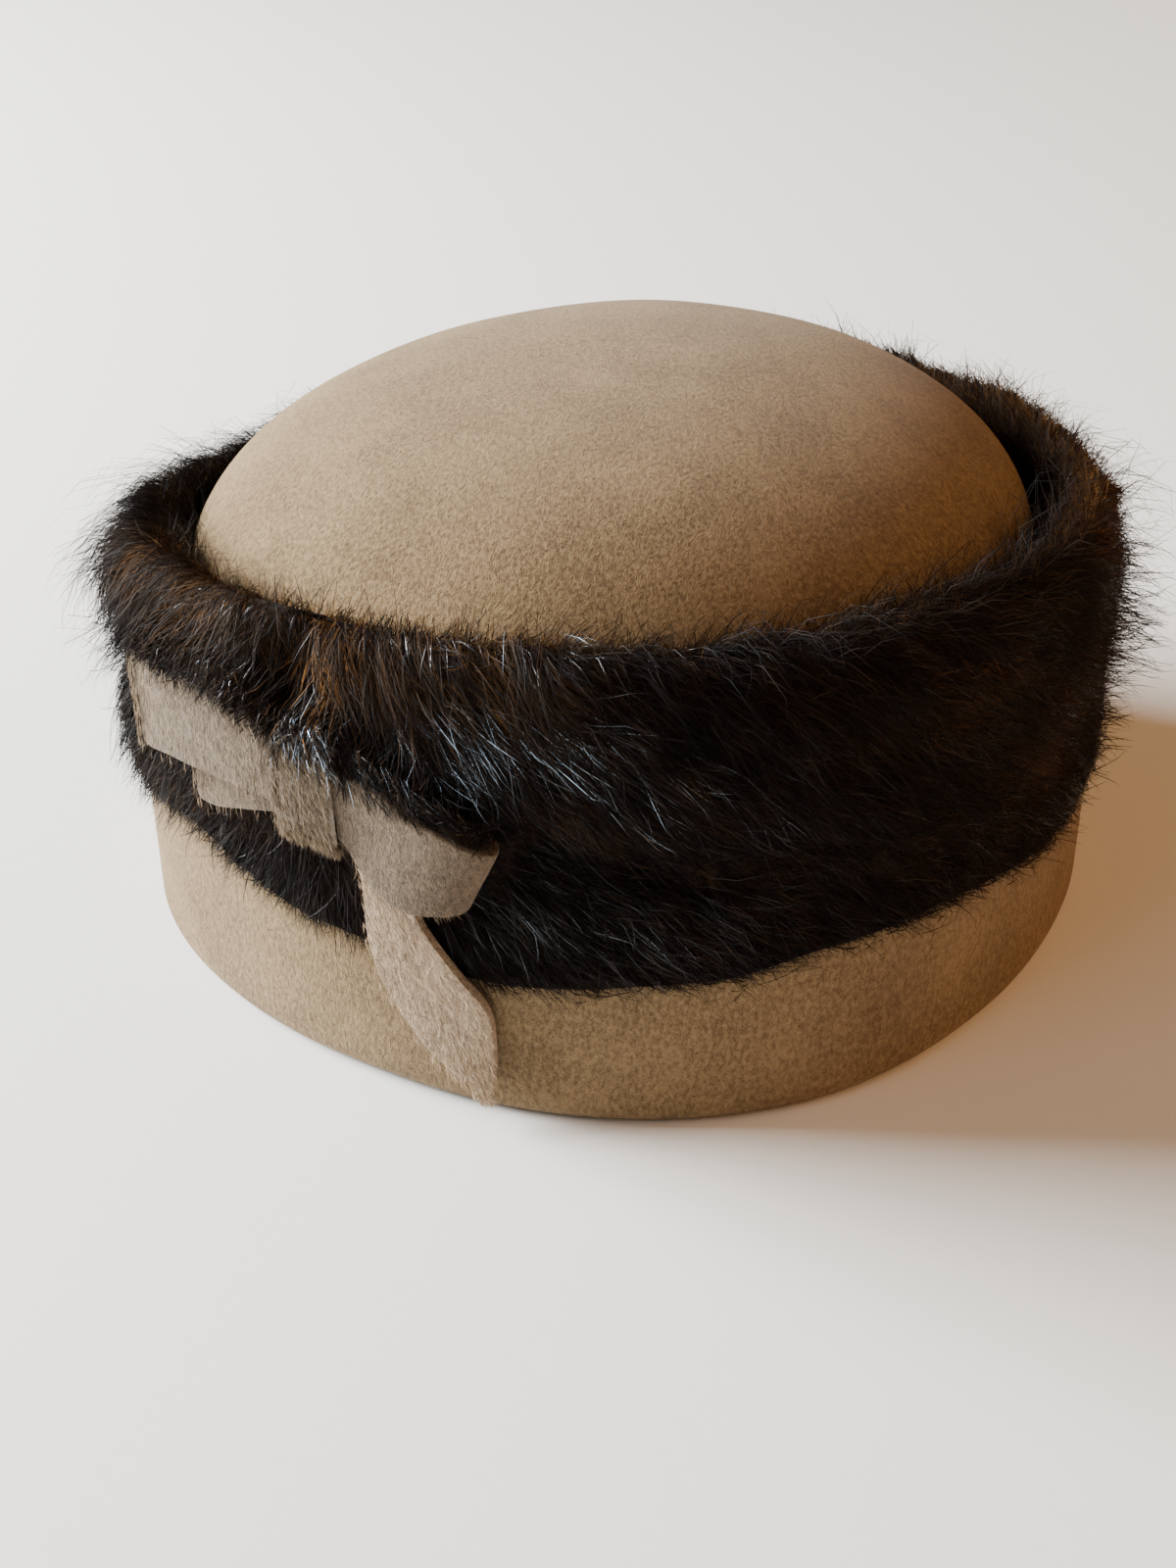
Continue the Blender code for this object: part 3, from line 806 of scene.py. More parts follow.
def upper_section(bearing):
    """The upper tier's ground cut through, with the slot that the cuff's edge stands in."""
    f = felt()
    clear = bow().clear
    tier = float(edge_height(bearing, "tier"))
    base = f.cuff_height + clear
    lip = f.cuff_height - fur().lip
    inner_wall = (f.cuff_radius - f.cuff_taper - f.cuff_wall) * float(cuff_plan(bearing)) - clear
    points = plain(upper_face(bearing, fur().hide))
    return points + [(inner_wall - clear, lip), (inner_wall, base),
                     (float(cuff_face(bearing, f.cuff_height)) + clear, base),
                     (float(cuff_face(bearing, tier)) + clear, tier + clear)]


def lower_section(bearing):
    """The lower tier's ground cut through."""
    clear = bow().clear
    points = plain(lower_face(bearing, fur().hide))
    foot, top = points[0][1], points[-1][1]
    return points + [(float(cuff_face(bearing, level)) + clear, level) for level in (top, foot)]


def unit(vectors, least=1e-9):
    """Vectors of length 1."""
    return vectors / np.maximum(np.linalg.norm(vectors, axis=-1, keepdims=True), least)


class Skin:
    """The surface that a tier's hairs lie along: points by bearing and by distance up the section. It runs
    on below the tier's edge."""

    def __init__(self, face, below):
        self.bearings = np.arange(0.0, 360.0, 1.0)
        under = below(self.bearings)
        start = len(under)
        rows = under + face(self.bearings, fur().hide)
        radius, height = (np.stack([np.broadcast_to(row[part], self.bearings.shape) for row in rows], axis=1)
                          for part in (0, 1))
        grid = np.zeros((360, SKIN_ROWS, 3))
        self.reach = np.zeros(360)
        marks = (np.arange(SKIN_ROWS) * SKIN_STEP) - SKIN_BELOW
        for step, bearing in enumerate(self.bearings):
            steps = np.hypot(np.diff(radius[step]), np.diff(height[step]))
            along = np.concatenate([[0.0], np.cumsum(steps)])
            along -= along[start]
            self.reach[step] = along[-1]
            r = np.interp(marks, along, radius[step])
            z = np.interp(marks, along, height[step])
            angle = math.radians(bearing)
            grid[step] = np.stack([r * math.cos(angle), r * math.sin(angle), z], axis=1)
        for _ in range(3):
            grid[:, 1:-1] = 0.25 * grid[:, :-2] + 0.5 * grid[:, 1:-1] + 0.25 * grid[:, 2:]
        self.grid = grid
        round_step = np.roll(grid, -1, axis=0) - np.roll(grid, 1, axis=0)
        up_step = np.gradient(grid, axis=1)
        normal = np.cross(round_step, up_step)
        self.normal = unit(normal, 1e-12)

    def look(self, table, bearing, up):
        """Values of a grid at bearings and distances up the section."""
        column = (bearing % 360.0)
        row = np.clip((up + SKIN_BELOW) / SKIN_STEP, 0.0, SKIN_ROWS - 1.001)
        b0, r0 = column.astype(int), row.astype(int)
        fb, fr = (column - b0)[..., None], (row - r0)[..., None]
        b0, b1 = b0 % 360, (b0 + 1) % 360
        low = table[b0, r0] * (1.0 - fb) + table[b1, r0] * fb
        high = table[b0, r0 + 1] * (1.0 - fb) + table[b1, r0 + 1] * fb
        return low * (1.0 - fr) + high * fr

    def at(self, bearing, up):
        """Points and unit normals."""
        return self.look(self.grid, bearing, up), unit(self.look(self.normal, bearing, up))

    def top(self, bearing):
        """Length of the section above the tier's edge."""
        return np.interp(bearing % 360.0, self.bearings, self.reach, period=360.0)


def under_upper(bearing):
    """Where the upper tier's hairs go on below its edge: clear of the lower tier."""
    rows = []
    for drop in (0.016, 0.008, 0.003):
        level = edge_height(bearing, "tier") - drop
        rows.append((cuff_face(bearing, level) + pelt_depth(bearing) + SHELF_IN * shelf(bearing), level))
    return rows


def under_lower(bearing):
    """Where the lower tier's hairs go on below its edge: over the felt cuff."""
    rows = []
    for drop in (0.016, 0.008, 0.002):
        level = edge_height(bearing, "lower") - drop
        rows.append((cuff_face(bearing, level) + 0.0005, level))
    return rows


def strands(name, points, normals, widths, hair_tone, surface, slot, rng):
    """Hairs as one mesh of narrow tapered blades, mapped across by a tone (warmth, and on shining hairs the
    strength of their painted glint) and along by place from root to tip.
    """
    count, rows = points.shape[:2]
    along = unit(np.gradient(points, axis=1))
    roll = rng.uniform(-1.1, 1.1, count)[:, None, None]
    side = unit(np.cross(along, normals))
    side = side * np.cos(roll) + np.cross(side, along) * np.sin(roll)
    taper = np.interp(np.linspace(0.0, 1.0, rows), (0.0, 0.25, 0.6, 1.0), (0.55, 1.0, 0.8, 0.0))
    half = 0.5 * widths[:, None, None] * taper[None, :, None]
    left, right = points - side * half, points + side * half
    per = 2 * (rows - 1) + 1
    verts = np.empty((count, per, 3), np.float32)
    verts[:, 0:-1:2] = left[:, :-1]
    verts[:, 1:-1:2] = right[:, :-1]
    verts[:, -1] = points[:, -1]
    verts += np.array(AXIS, np.float32)
    quads = [(2 * row, 2 * row + 1, 2 * row + 3, 2 * row + 2) for row in range(rows - 2)]
    corners = [corner for quad in quads for corner in quad] + [2 * rows - 4, 2 * rows - 3, 2 * rows - 2]
    each = np.arange(count, dtype=np.int32)[:, None]
    loops = np.array(corners, np.int32)[None, :] + each * per
    starts = (np.arange(rows - 1, dtype=np.int32) * 4)[None, :] + each * len(corners)
    data = bpy.data.meshes.new(name)
    data.vertices.add(count * per)
    data.vertices.foreach_set("co", verts.ravel())
    data.loops.add(loops.size)
    data.loops.foreach_set("vertex_index", loops.ravel())
    data.polygons.add(count * (rows - 1))
    data.polygons.foreach_set("loop_start", starts.ravel())
    data.update(calc_edges=True)
    row_of = np.array([min(corner // 2, rows - 1) for corner in corners], float) / (rows - 1)
    side_of = np.array([0.5 if corner == 2 * rows - 2 else corner % 2 for corner in corners]) - 0.5
    uv = np.empty((count, len(corners), 2), np.float32)
    uv[..., 0] = hair_tone[:, None] + MAP_WIDTH * side_of[None, :]
    uv[..., 1] = 0.02 + 0.96 * row_of[None, :]
    data.uv_layers.new(name=HAIR_MAP).data.foreach_set("uv", uv.ravel())
    return seated(name, data, surface, slot)


# How the hair is combed: its way, 0 being straight down and 90 round towards growing bearings, and its lift
Lie = namedtuple("Lie", "bearing turn lift")
COMB = (
    Lie(0.0, 64.0, 0.32),
    Lie(30.0, 70.0, 0.28),
    Lie(60.0, 70.0, 0.30),
    Lie(110.0, 60.0, 0.32),
    Lie(160.0, 54.0, 0.34),
    Lie(205.0, 42.0, 0.40),
    Lie(235.0, 10.0, 0.50),
    Lie(256.0, -6.0, 0.44),
    Lie(272.0, -10.0, 0.36),
    Lie(284.0, 8.0, 0.32),
    Lie(291.0, 34.0, 0.36),
    Lie(301.0, 60.0, 0.40),
    Lie(312.0, 68.0, 0.40),
    Lie(326.0, 66.0, 0.36),
    Lie(345.0, 64.0, 0.32),
)


def combed(bearing, column):
    """A column of the combing table at a bearing."""
    places, values = [lie.bearing for lie in COMB], [getattr(lie, column) for lie in COMB]
    return np.interp(np.asarray(bearing) % 360.0, places, values, period=360.0)


# Where the underfur shows through, and at the back right also a painted glow of backlit hair: a place, its
# spread in degrees and metres, and its warmth
Patch = namedtuple("Patch", "bearing height round up strength")
PATCHES = (
    Patch(288.5, 0.0930, 3.6, 0.0080, 0.64),
    Patch(291.0, 0.1010, 3.6, 0.0070, 0.50),
    Patch(273.0, 0.0970, 11.0, 0.0080, 0.42),
    Patch(258.0, 0.0930, 9.0, 0.0080, 0.34),
    Patch(304.0, 0.0950, 15.0, 0.0100, 0.40),
    Patch(319.0, 0.0740, 11.0, 0.0050, 0.28),
    Patch(0.0, 0.0860, 14.0, 0.0100, 0.26),
    Patch(22.0, 0.0640, 18.0, 0.0160, 0.32),
    # Partly painted light: this wide patch paints the orange glow of backlit hair at the back right, over
    # the underfur's own brown
    Patch(66.0, 0.0900, 38.0, 0.0160, 0.46),
    Patch(262.0, 0.0500, 10.0, 0.0060, 0.22),
)


def strongest(patches, bearing, height, least):
    """The strongest of the patches at a place, or least where all are weaker."""
    found = least
    for patch in patches:
        round_part = turn_between(bearing, patch.bearing) / patch.round
        up_part = (height - patch.height) / patch.up
        found = np.maximum(found, patch.strength * np.exp(-(round_part ** 2) - up_part ** 2))
    return found


def warmth_at(bearing, height):
    """How much the brown or amber underfur shows at a place, with a painted glow of backlit hair at the back
    right.
    """
    return strongest(PATCHES, bearing, height, np.zeros(np.shape(bearing)))


# Where the long hairs get a painted glint, placed where they catch the light: a place, its spread in degrees
# and metres, and its strength
SHINES = (
    Patch(277.0, 0.0920, 4.0, 0.0050, 0.60),
    Patch(291.0, 0.0815, 4.0, 0.0070, 1.60),
    Patch(299.0, 0.0940, 6.0, 0.0060, 0.60),
    Patch(303.0, 0.0860, 9.0, 0.0100, 1.30),
    Patch(315.0, 0.1010, 6.0, 0.0040, 0.60),
    Patch(314.0, 0.0880, 9.0, 0.0100, 1.15),
    Patch(325.0, 0.0800, 10.0, 0.0100, 0.72),
    Patch(337.0, 0.0740, 9.0, 0.0110, 0.42),
    Patch(318.0, 0.0500, 20.0, 0.0110, 0.62),
    Patch(345.0, 0.0860, 10.0, 0.0080, 0.25),
    Patch(14.0, 0.0940, 10.0, 0.0040, 0.25),
    Patch(262.0, 0.0500, 8.0, 0.0080, 0.35),
)


def shine_at(bearing, height):
    """How strong the painted glint on the long hairs is at a place; away from the front, in drifting
    patches.
    """
    drift = 0.5 + 0.5 * np.sin(np.radians(7.0 * bearing) + height * 260.0)
    shine = 0.22 * drift * drift * (1.0 - ease((height - 0.082) / 0.012))
    return strongest(SHINES, bearing, height, shine)


class Cover:
    """Where the bow lies on the fur: its outer and inner radius by bearing and height, and its top edge."""

    first, last, pitch = 225.0, 345.0, 0.5
    rows, row_pitch = 220, 0.0005

    def __init__(self, pieces):
        verts, faces = [], []
        for piece in pieces:
            start = len(verts)
            verts += [vert.co - AXIS for vert in piece.data.vertices]
            faces += [[start + index for index in face.vertices] for face in piece.data.polygons]
        tree = BVHTree.FromPolygons(verts, faces)
        columns = int((self.last - self.first) / self.pitch) + 1
        self.outer = np.zeros((columns, self.rows))
        self.inner = np.full((columns, self.rows), 9.0)
        for column in range(columns):
            angle = math.radians(self.first + column * self.pitch)
            way = Vector((math.cos(angle), math.sin(angle), 0.0))
            for row in range(self.rows):
                middle = Vector((0.0, 0.0, row * self.row_pitch))
                found = tree.ray_cast(middle + way * 0.2, -way, 0.2)
                if found[0] is not None:
                    self.outer[column, row] = math.hypot(found[0].x, found[0].y)
                    back = tree.ray_cast(middle + way * 0.05, way, 0.2)
                    self.inner[column, row] = math.hypot(back[0].x, back[0].y)
        self.over = self.outer.copy()
        for lift in range(1, 12):
            self.over[:, lift:] = np.maximum(self.over[:, lift:], self.outer[:, :-lift] - 0.0002 * lift)
        rows = np.arange(self.rows) * self.row_pitch
        self.edge = np.where(self.outer > 0.0, rows[None, :], 0.0).max(axis=1)

    def look(self, table, bearing, height, away):
        """A value of a table, or away outside it."""
        column = np.round((bearing % 360.0 - self.first) / self.pitch).astype(int)
        row = np.round(height / self.row_pitch).astype(int)
        inside = (column >= 0) & (column < table.shape[0]) & (row >= 0) & (row < self.rows)
        found = table[np.clip(column, 0, table.shape[0] - 1), np.clip(row, 0, self.rows - 1)]
        return np.where(inside, found, away)

    def top(self, bearing):
        """Height of the bow's top edge at a bearing, 0 beside it."""
        places = self.first + np.arange(len(self.edge)) * self.pitch
        return np.interp(bearing % 360.0, places, self.edge, left=0.0, right=0.0)


def polar(points):
    """Bearings, radii and heights of points about the hat's axis."""
    bearing = np.degrees(np.arctan2(points[..., 1], points[..., 0])) % 360.0
    return bearing, np.hypot(points[..., 0], points[..., 1]), points[..., 2]


def widened(points, share):
    """Points moved out from the axis, or in, by a share of their radius."""
    return points * np.stack([share, share, np.ones_like(share)], axis=-1)


OFF_DOME, OFF_CUFF = 0.0003, 0.0002      # least space between hairs and the felt
OFF_BOW, UNDER_BOW = 0.00025, 0.0003     # and between hairs and the bow


def clear_of_felt(points):
    """Hairs moved out of the dome and the cuff, apart from their roots."""
    bearing, radius, height = polar(points)
    f = felt()
    low = np.where(height < f.crown_height, crown_face(bearing, height) + OFF_DOME, 0.0)
    low = np.where(height < f.cuff_height, np.maximum(low, cuff_face(bearing, height) + OFF_CUFF), low)
    low[:, 0] = 0.0
    return widened(points, np.maximum(radius, low) / radius)


def kept_clear(points, cover):
    """Hairs moved off the felt, over the bow where they come down on it, and under it elsewhere."""
    points = clear_of_felt(points)
    bearing, radius, height = polar(points)
    over = height[:, :1] > cover.top(bearing[:, :1]) - 0.0005
    outer = cover.look(cover.over, bearing, height, 0.0)
    outer[:, 0] = 0.0
    inner = cover.look(cover.inner, bearing, height, 9.0)
    wanted = np.where(over, np.where(outer > 0.0, np.maximum(radius, outer + OFF_BOW), radius),
                      np.minimum(radius, inner - UNDER_BOW))
    return widened(points, wanted / radius)


# One kind of hair on a tier, 0 being the upper one: how many, how long as a share of the guard hair or the
# underfur, how far it hangs over the tier's edge, how its clumps spread and gather, and how warm it is
Coat = namedtuple("Coat", "name tier kind count clumps long rows width overhang spread lift stray gather "
                          "warm warm_share stand shines",
                  defaults=(0.0018, 1.0, 8.0, 0.65, 0.0, 1.0, 0.0, False))
COATS = (
    Coat("underfur_upper", 0, "soft", 36000, 4000, 1.0, 4, 0.00022, 0.0045, spread=0.0019, stray=20.0,
         lift=1.2, gather=0.5, warm=0.09),
    Coat("underfur_lower", 1, "soft", 22000, 2400, 1.0, 4, 0.00023, 0.0010, spread=0.0019, stray=18.0,
         lift=0.9, gather=0.5, warm=0.03),
    Coat("guard_hairs_upper", 0, "guard", 26000, 1700, 1.0, 5, 0.00014, 0.0080, spread=0.0022, lift=1.15,
         gather=0.75, warm_share=0.85),
    Coat("guard_hairs_lower", 1, "guard", 15000, 1000, 0.85, 5, 0.00016, 0.0020, spread=0.0022, lift=0.95,
         gather=0.75, warm_share=0.85),
    Coat("glinting_hairs_upper", 0, "shine", 9500, 7000, 0.85, 5, 0.00010, 0.0060, stray=11.0, lift=1.25,
         gather=0.2, shines=True),
    Coat("glinting_hairs_lower", 1, "shine", 6000, 4500, 0.75, 5, 0.00010, 0.0030, stray=11.0, lift=1.15,
         gather=0.2, shines=True),
    Coat("stray_hairs_upper", 0, "guard", 9000, 1600, 0.84, 4, 0.00014, 0.0050, stray=14.0, stand=1.15,
         spread=0.0010, gather=0.9, warm_share=0.3),
    Coat("stray_hairs_lower", 1, "guard", 2600, 700, 0.62, 4, 0.00014, 0.0040, stray=14.0, stand=0.80,
         spread=0.0010, gather=0.9, warm_share=0.3),
)


STAND_FURTHER = ((35.0, 35.0, 0.7), (243.0, 24.0, 0.6))     # where strays stand out further, and by how much
ROOM, ROOM_AT_KNOT = 0.0020, 0.0085     # how far hair reaches over the bow, and how much further at the knot
KNOT_AT = (297.0, 8.0)
SHINE_TRIES = 8            # places tried for each clump of shining hairs
SHINE_LEAST = 0.04         # weight of a place that catches no light


def bow_room(cover, skin, bearing, up, rng):
    """How far a hair may hang down before it reaches too far over the bow; most over the knot."""
    height = skin.look(skin.grid, bearing, up)[..., 2]
    edge = np.maximum(cover.top(bearing), cover.top(bearing + 2.5))
    reach = ROOM + ROOM_AT_KNOT * near(bearing, *KNOT_AT)
    room = np.maximum(height - edge, 0.0) + reach * rng.gamma(2.0, 0.45, len(bearing))
    return np.where((edge > 0.0) & (height > edge - 0.001), room, 1.0)


def grow(coat, skin, cover, surface, rng):
    """Grow one kind of hair in clumps over one tier; of the shining ones, most where their painted glint is
    strongest.
    """
    count, clumps = coat.count, coat.clumps
    chance = skin.reach / skin.reach.sum()
    tries = clumps * (SHINE_TRIES if coat.shines else 1)
    step = rng.choice(360, tries, p=chance)
    clump_bearing = step + rng.uniform(0.0, 1.0, tries)
    clump_up = rng.uniform(0.0, 1.0, tries) * skin.top(clump_bearing)
    if coat.shines:
        level = skin.look(skin.grid, clump_bearing, clump_up)[..., 2]
        weight = SHINE_LEAST + shine_at(clump_bearing, level)
        kept = rng.choice(tries, clumps, replace=False, p=weight / weight.sum())
        clump_bearing, clump_up = clump_bearing[kept], clump_up[kept]
    clump_turn = combed(clump_bearing, "turn") + rng.normal(0.0, 12.0, clumps)
    clump_lift = combed(clump_bearing, "lift") * rng.uniform(0.6, 1.4, clumps)
    clump_warm = rng.uniform(0.0, 0.16, clumps)
    owner = rng.integers(0, clumps, count)
    home, home_up = clump_bearing[owner], clump_up[owner]
    radius = cuff_face(home, 0.05)
    round_off = rng.normal(0.0, coat.spread, count)
    up_off = rng.normal(0.0, coat.spread, count)
    turn = np.radians(clump_turn[owner] + rng.normal(0.0, coat.stray, count))
    bend = np.radians(rng.normal(24.0, 12.0, count))
    full = (fur().under if coat.kind == "soft" else fur().guard) * coat.long
    size = full * rng.uniform(0.6, 1.15, count)
    root_up = home_up + up_off
    room = np.maximum(root_up, 0.0) + coat.overhang * rng.exponential(1.0, count)
    down = np.maximum(np.cos(turn - bend), 0.2)
    size = np.minimum(size, np.maximum(room, 0.0015) / down)
    size = np.minimum(size, bow_room(cover, skin, home, root_up, rng) / down)
    lifts = coat.lift * clump_lift[owner] * rng.uniform(0.6, 1.5, count)
    if coat.tier == 1:
        below = skin.top(clump_bearing)[owner] - root_up
        lifts *= 0.25 + 0.75 * ease(below / 0.012)
    if coat.stand:
        lifts = coat.stand * rng.uniform(0.35, 1.2, count)
        for bearing, spread, further in STAND_FURTHER:
            lifts *= 1.0 + further * near(home, bearing, spread)
    round_run, up_run = np.zeros(count), np.zeros(count)
    last = coat.rows - 1
    places, normals = [], []
    for row in range(coat.rows):
        part = row / last
        if row:
            way = turn - bend * (part - 0.5 / last)
            round_run += np.sin(way) * size / last
            up_run -= np.cos(way) * size / last
        gather = 1.0 - coat.gather * part ** 1.5
        point, normal = skin.at(home + np.degrees((round_run + round_off * gather) / radius),
                                home_up + up_run + up_off * gather)
        stand = size * lifts * (part - 0.45 * part * part) - 0.0004
        places.append(point + normal * stand[:, None])
        normals.append(normal)
    points = kept_clear(np.stack(places, axis=1), cover)
    facing = np.stack(normals, axis=1)
    bearing, _, height = polar(points[:, 0])
    if coat.shines:
        # On shining hairs the map's tone is the strength of their painted glint
        chance = rng.uniform(0.0, 1.0, count) ** 2.0
        hair_tone = np.clip(shine_at(bearing, height) * chance, 0.01, 0.99)
    else:
        hair_tone = coat.warm + clump_warm[owner] + coat.warm_share * warmth_at(bearing, height)
        hair_tone = np.clip(hair_tone + rng.normal(0.0, 0.04, count), 0.01, 0.99)
    shown = cover.look(cover.outer, bearing, height, 0.0) == 0.0
    widths = coat.width * rng.uniform(0.7, 1.3, count)
    strands(coat.name, points[shown], facing[shown], widths[shown], hair_tone[shown], surface, "dark_fur", rng)


def round_from(out):
    """Level directions round the hat, from outward ones."""
    return np.stack([-out[:, 1], out[:, 0], np.zeros(len(out))], axis=1)


def grow_wisps(name, skin, count, long, warm, rng, surface):
    """Fine hairs that stand up from the roll's inner side, over the dome's edge."""
    clumps = count // 9
    owner = rng.integers(0, clumps, count)
    bearing = rng.uniform(0.0, 360.0, clumps)[owner] + rng.normal(0.0, 0.9, count)
    part_up = np.clip(rng.uniform(0.56, 0.90, clumps)[owner] + rng.normal(0.0, 0.03, count), 0.52, 0.93)
    root, normal = skin.at(bearing, skin.top(bearing) * part_up)
    angle = np.radians(bearing)
    out = np.stack([np.cos(angle), np.sin(angle), np.zeros(count)], axis=1)
    round_way = round_from(out)
    rise = np.array([0.0, 0.0, 1.0])
    lean = rng.normal(0.10, 0.35, clumps)[owner] + rng.normal(0.0, 0.25, count)
    way = (rise * 0.9 + normal * 0.35 + out * rng.normal(-0.10, 0.30, count)[:, None]
           + round_way * lean[:, None])
    way = unit(way)
    fuller = 0.75 + 0.75 * near(bearing, 303.0, 24.0)
    size = np.minimum(long * fuller * (0.5 + 0.5 * rng.gamma(2.0, 0.5, count)), 0.014)
    droop = rng.normal(0.0, 0.25, count)[:, None] * round_way - 0.10 * rise
    points = np.stack([root + (way * part + droop * part * part) * size[:, None]
                       - normal * 0.0005 * (1.0 - part) for part in (0 / 3, 1 / 3, 2 / 3, 3 / 3)], axis=1)
    facing = np.repeat(out[:, None, :], 4, axis=1)
    bearings, _, height = polar(points[:, 0])
    hair_tone = warm + warmth_at(bearings, height) + rng.uniform(-0.05, 0.10, clumps)[owner]
    hair_tone = np.clip(hair_tone + rng.normal(0.0, 0.04, count), 0.01, 0.9)
    strands(name, clear_of_felt(points), facing, rng.uniform(0.00009, 0.00017, count), hair_tone, surface,
            "dark_fur", rng)


class HAT_OT_fur(bpy.types.Operator):
    """Make the band of dark fur: its ground and its hairs"""

    bl_idname = "hat.fur"
    bl_label = "Fur band"

    def execute(self, context):
        ground = hide_finish()
        for name, section, node in (("fur_ground_upper", upper_section, "fur_upper"),
                                    ("fur_ground_lower", lower_section, "fur_lower")):
            finished(name, ring(section, ROUND_STEPS), ground, "dark_fur", node)
        cover = Cover([piece for piece in bpy.data.objects if piece.name.startswith("bow_") and
                       piece.get("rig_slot") == "trim_felt"])
        rng = np.random.default_rng(7)
        surfaces = {"soft": hair_finish("underfur_hair", 0.85, 0.03),
                    "guard": hair_finish("guard_hair", 0.50, 0.045), "shine": glint_finish()}
        skins = Skin(upper_face, under_upper), Skin(lower_face, under_lower)
        for coat in COATS:
            grow(coat, skins[coat.tier], cover, surfaces[coat.kind], rng)
        grow_wisps("dome_edge_underfur", skins[0], 24000, 0.0045, 0.46, rng, surfaces["soft"])
        grow_wisps("dome_edge_hairs", skins[0], 7000, 0.0085, 0.06, rng, surfaces["guard"])
        return {"FINISHED"}


# Bow


def bow_point(along, up, layer):
    """A point on the middle of a felt strip, laid against the hat's side."""
    b = bow()
    bearing = b.bearing + arc_turn(along)
    height = b.height + up * b.width
    stand = b.seat + b.clear + 0.5 * b.strip + layer * (b.strip + b.clear)
    return place(bearing, float(cuff_face(bearing, height)) + stand, height)


def between(cuts, where):
    """A cut at a place along a table of them, on a smooth curve through them."""
    last = len(cuts) - 1
    index = min(int(where), last - 1)
    part = where - index
    before, here, far, after = (np.array(cuts[min(max(index + step, 0), last)]) for step in (-1, 0, 1, 2))
    ahead, slope = 0.5 * (far - before), 0.5 * (after - here)
    square, cube = part * part, part ** 3
    return Cut(*((2 * cube - 3 * square + 1) * here + (cube - 2 * square + part) * ahead
                 + (3 * square - 2 * cube) * far + (cube - square) * slope))


STRIP_ACROSS = 10          # steps across a strip
STRIP_FINE = 6             # steps from one cut to the next
STRIP_EDGE = 0.00055       # rounding of a strip's edges
NARROWEST = 0.0101         # least width that a strip is taken to have


def felt_strip(name, cuts, surface, node):
    """A felt strip through a row of cuts: a grid laid along them, given its thickness and round edges."""
    b = bow()
    steps = (len(cuts) - 1) * STRIP_FINE
    mesh = bmesh.new()
    bmesh.ops.create_grid(mesh, x_segments=steps, y_segments=STRIP_ACROSS, size=0.5)
    rows = {}
    for vert in mesh.verts:
        where = (vert.co.x + 0.5) * (len(cuts) - 1)
        part = vert.co.y + 0.5
        key = round(where * STRIP_FINE)
        if key not in rows:
            cut = between(cuts, where)
            rows[key] = [bow_point(*end, cut.layer) for end in (cut[:2], cut[2:4])]
        first, second = rows[key]
        vert.co = first + (second - first) * part
    flat = sum(face.calc_area() for face in mesh.faces)
    middles = [0.5 * (rows[key][0] + rows[key][1]) for key in sorted(rows)]
    long = sum((after - here).length for here, after in zip(middles, middles[1:]))
    bmesh.ops.recalc_face_normals(mesh, faces=mesh.faces)
    bmesh.ops.solidify(mesh, geom=mesh.faces[:], thickness=b.strip)
    rim = [edge for edge in mesh.edges if edge.is_manifold and edge.calc_face_angle(0.0) > math.radians(60)]
    bmesh.ops.bevel(mesh, geom=rim, offset=STRIP_EDGE, offset_type="OFFSET", segments=3, profile=0.5,
                    affect="EDGES", material=-1, clamp_overlap=True)
    bmesh.ops.recalc_face_normals(mesh, faces=mesh.faces)
    pushed(mesh, 0.00022, 0.007)
    made = finished(name, mesh, surface, "trim_felt", node)
    wide = max(flat / long, NARROWEST)
    min(flat, wide * long)


def strip_nap(name, strips, surface, rng):
    """Short hairs on the faces of the bow's strips, combed down and to the right, tips a little off."""
    roots, outs = [], []
    for cuts, hairs in strips:
        for where, part in rng.uniform(0.0, 1.0, (hairs, 2)):
            cut = between(cuts, where * (len(cuts) - 1))
            along = cut.along_1 + (cut.along_2 - cut.along_1) * part
            up = cut.up_1 + (cut.up_2 - cut.up_1) * part
            middle = bow_point(along, up, cut.layer)
            out = (middle - AXIS).xy.to_3d().normalized()
            roots.append(middle + out * 0.5 * bow().strip)
            outs.append(out)
    roots, outs, count = np.array(roots), np.array(outs), len(outs)
    ways = unit(round_from(outs) * rng.normal(0.62, 0.25, (count, 1)) - np.array([0.0, 0.0, 1.0]))
    sizes = rng.uniform(0.0012, 0.0026, count)
    bend = rng.normal(0.0, 0.25, (count, 1)) * np.cross(ways, outs)
    rows = [roots + sizes[:, None] * (part * (ways + 0.34 * outs) + part * part * (bend - 0.12 * outs))
            for part in (0.0, 0.5, 1.0)]
    facing = np.repeat(outs[:, None, :], 3, axis=1)
    tone = np.clip(rng.normal(0.52, 0.20, count), 0.01, 0.99)
    strands(name, np.stack(rows, axis=1) - np.array(AXIS), facing, rng.uniform(0.00012, 0.00020, count),
            tone, surface, "trim_felt", rng)


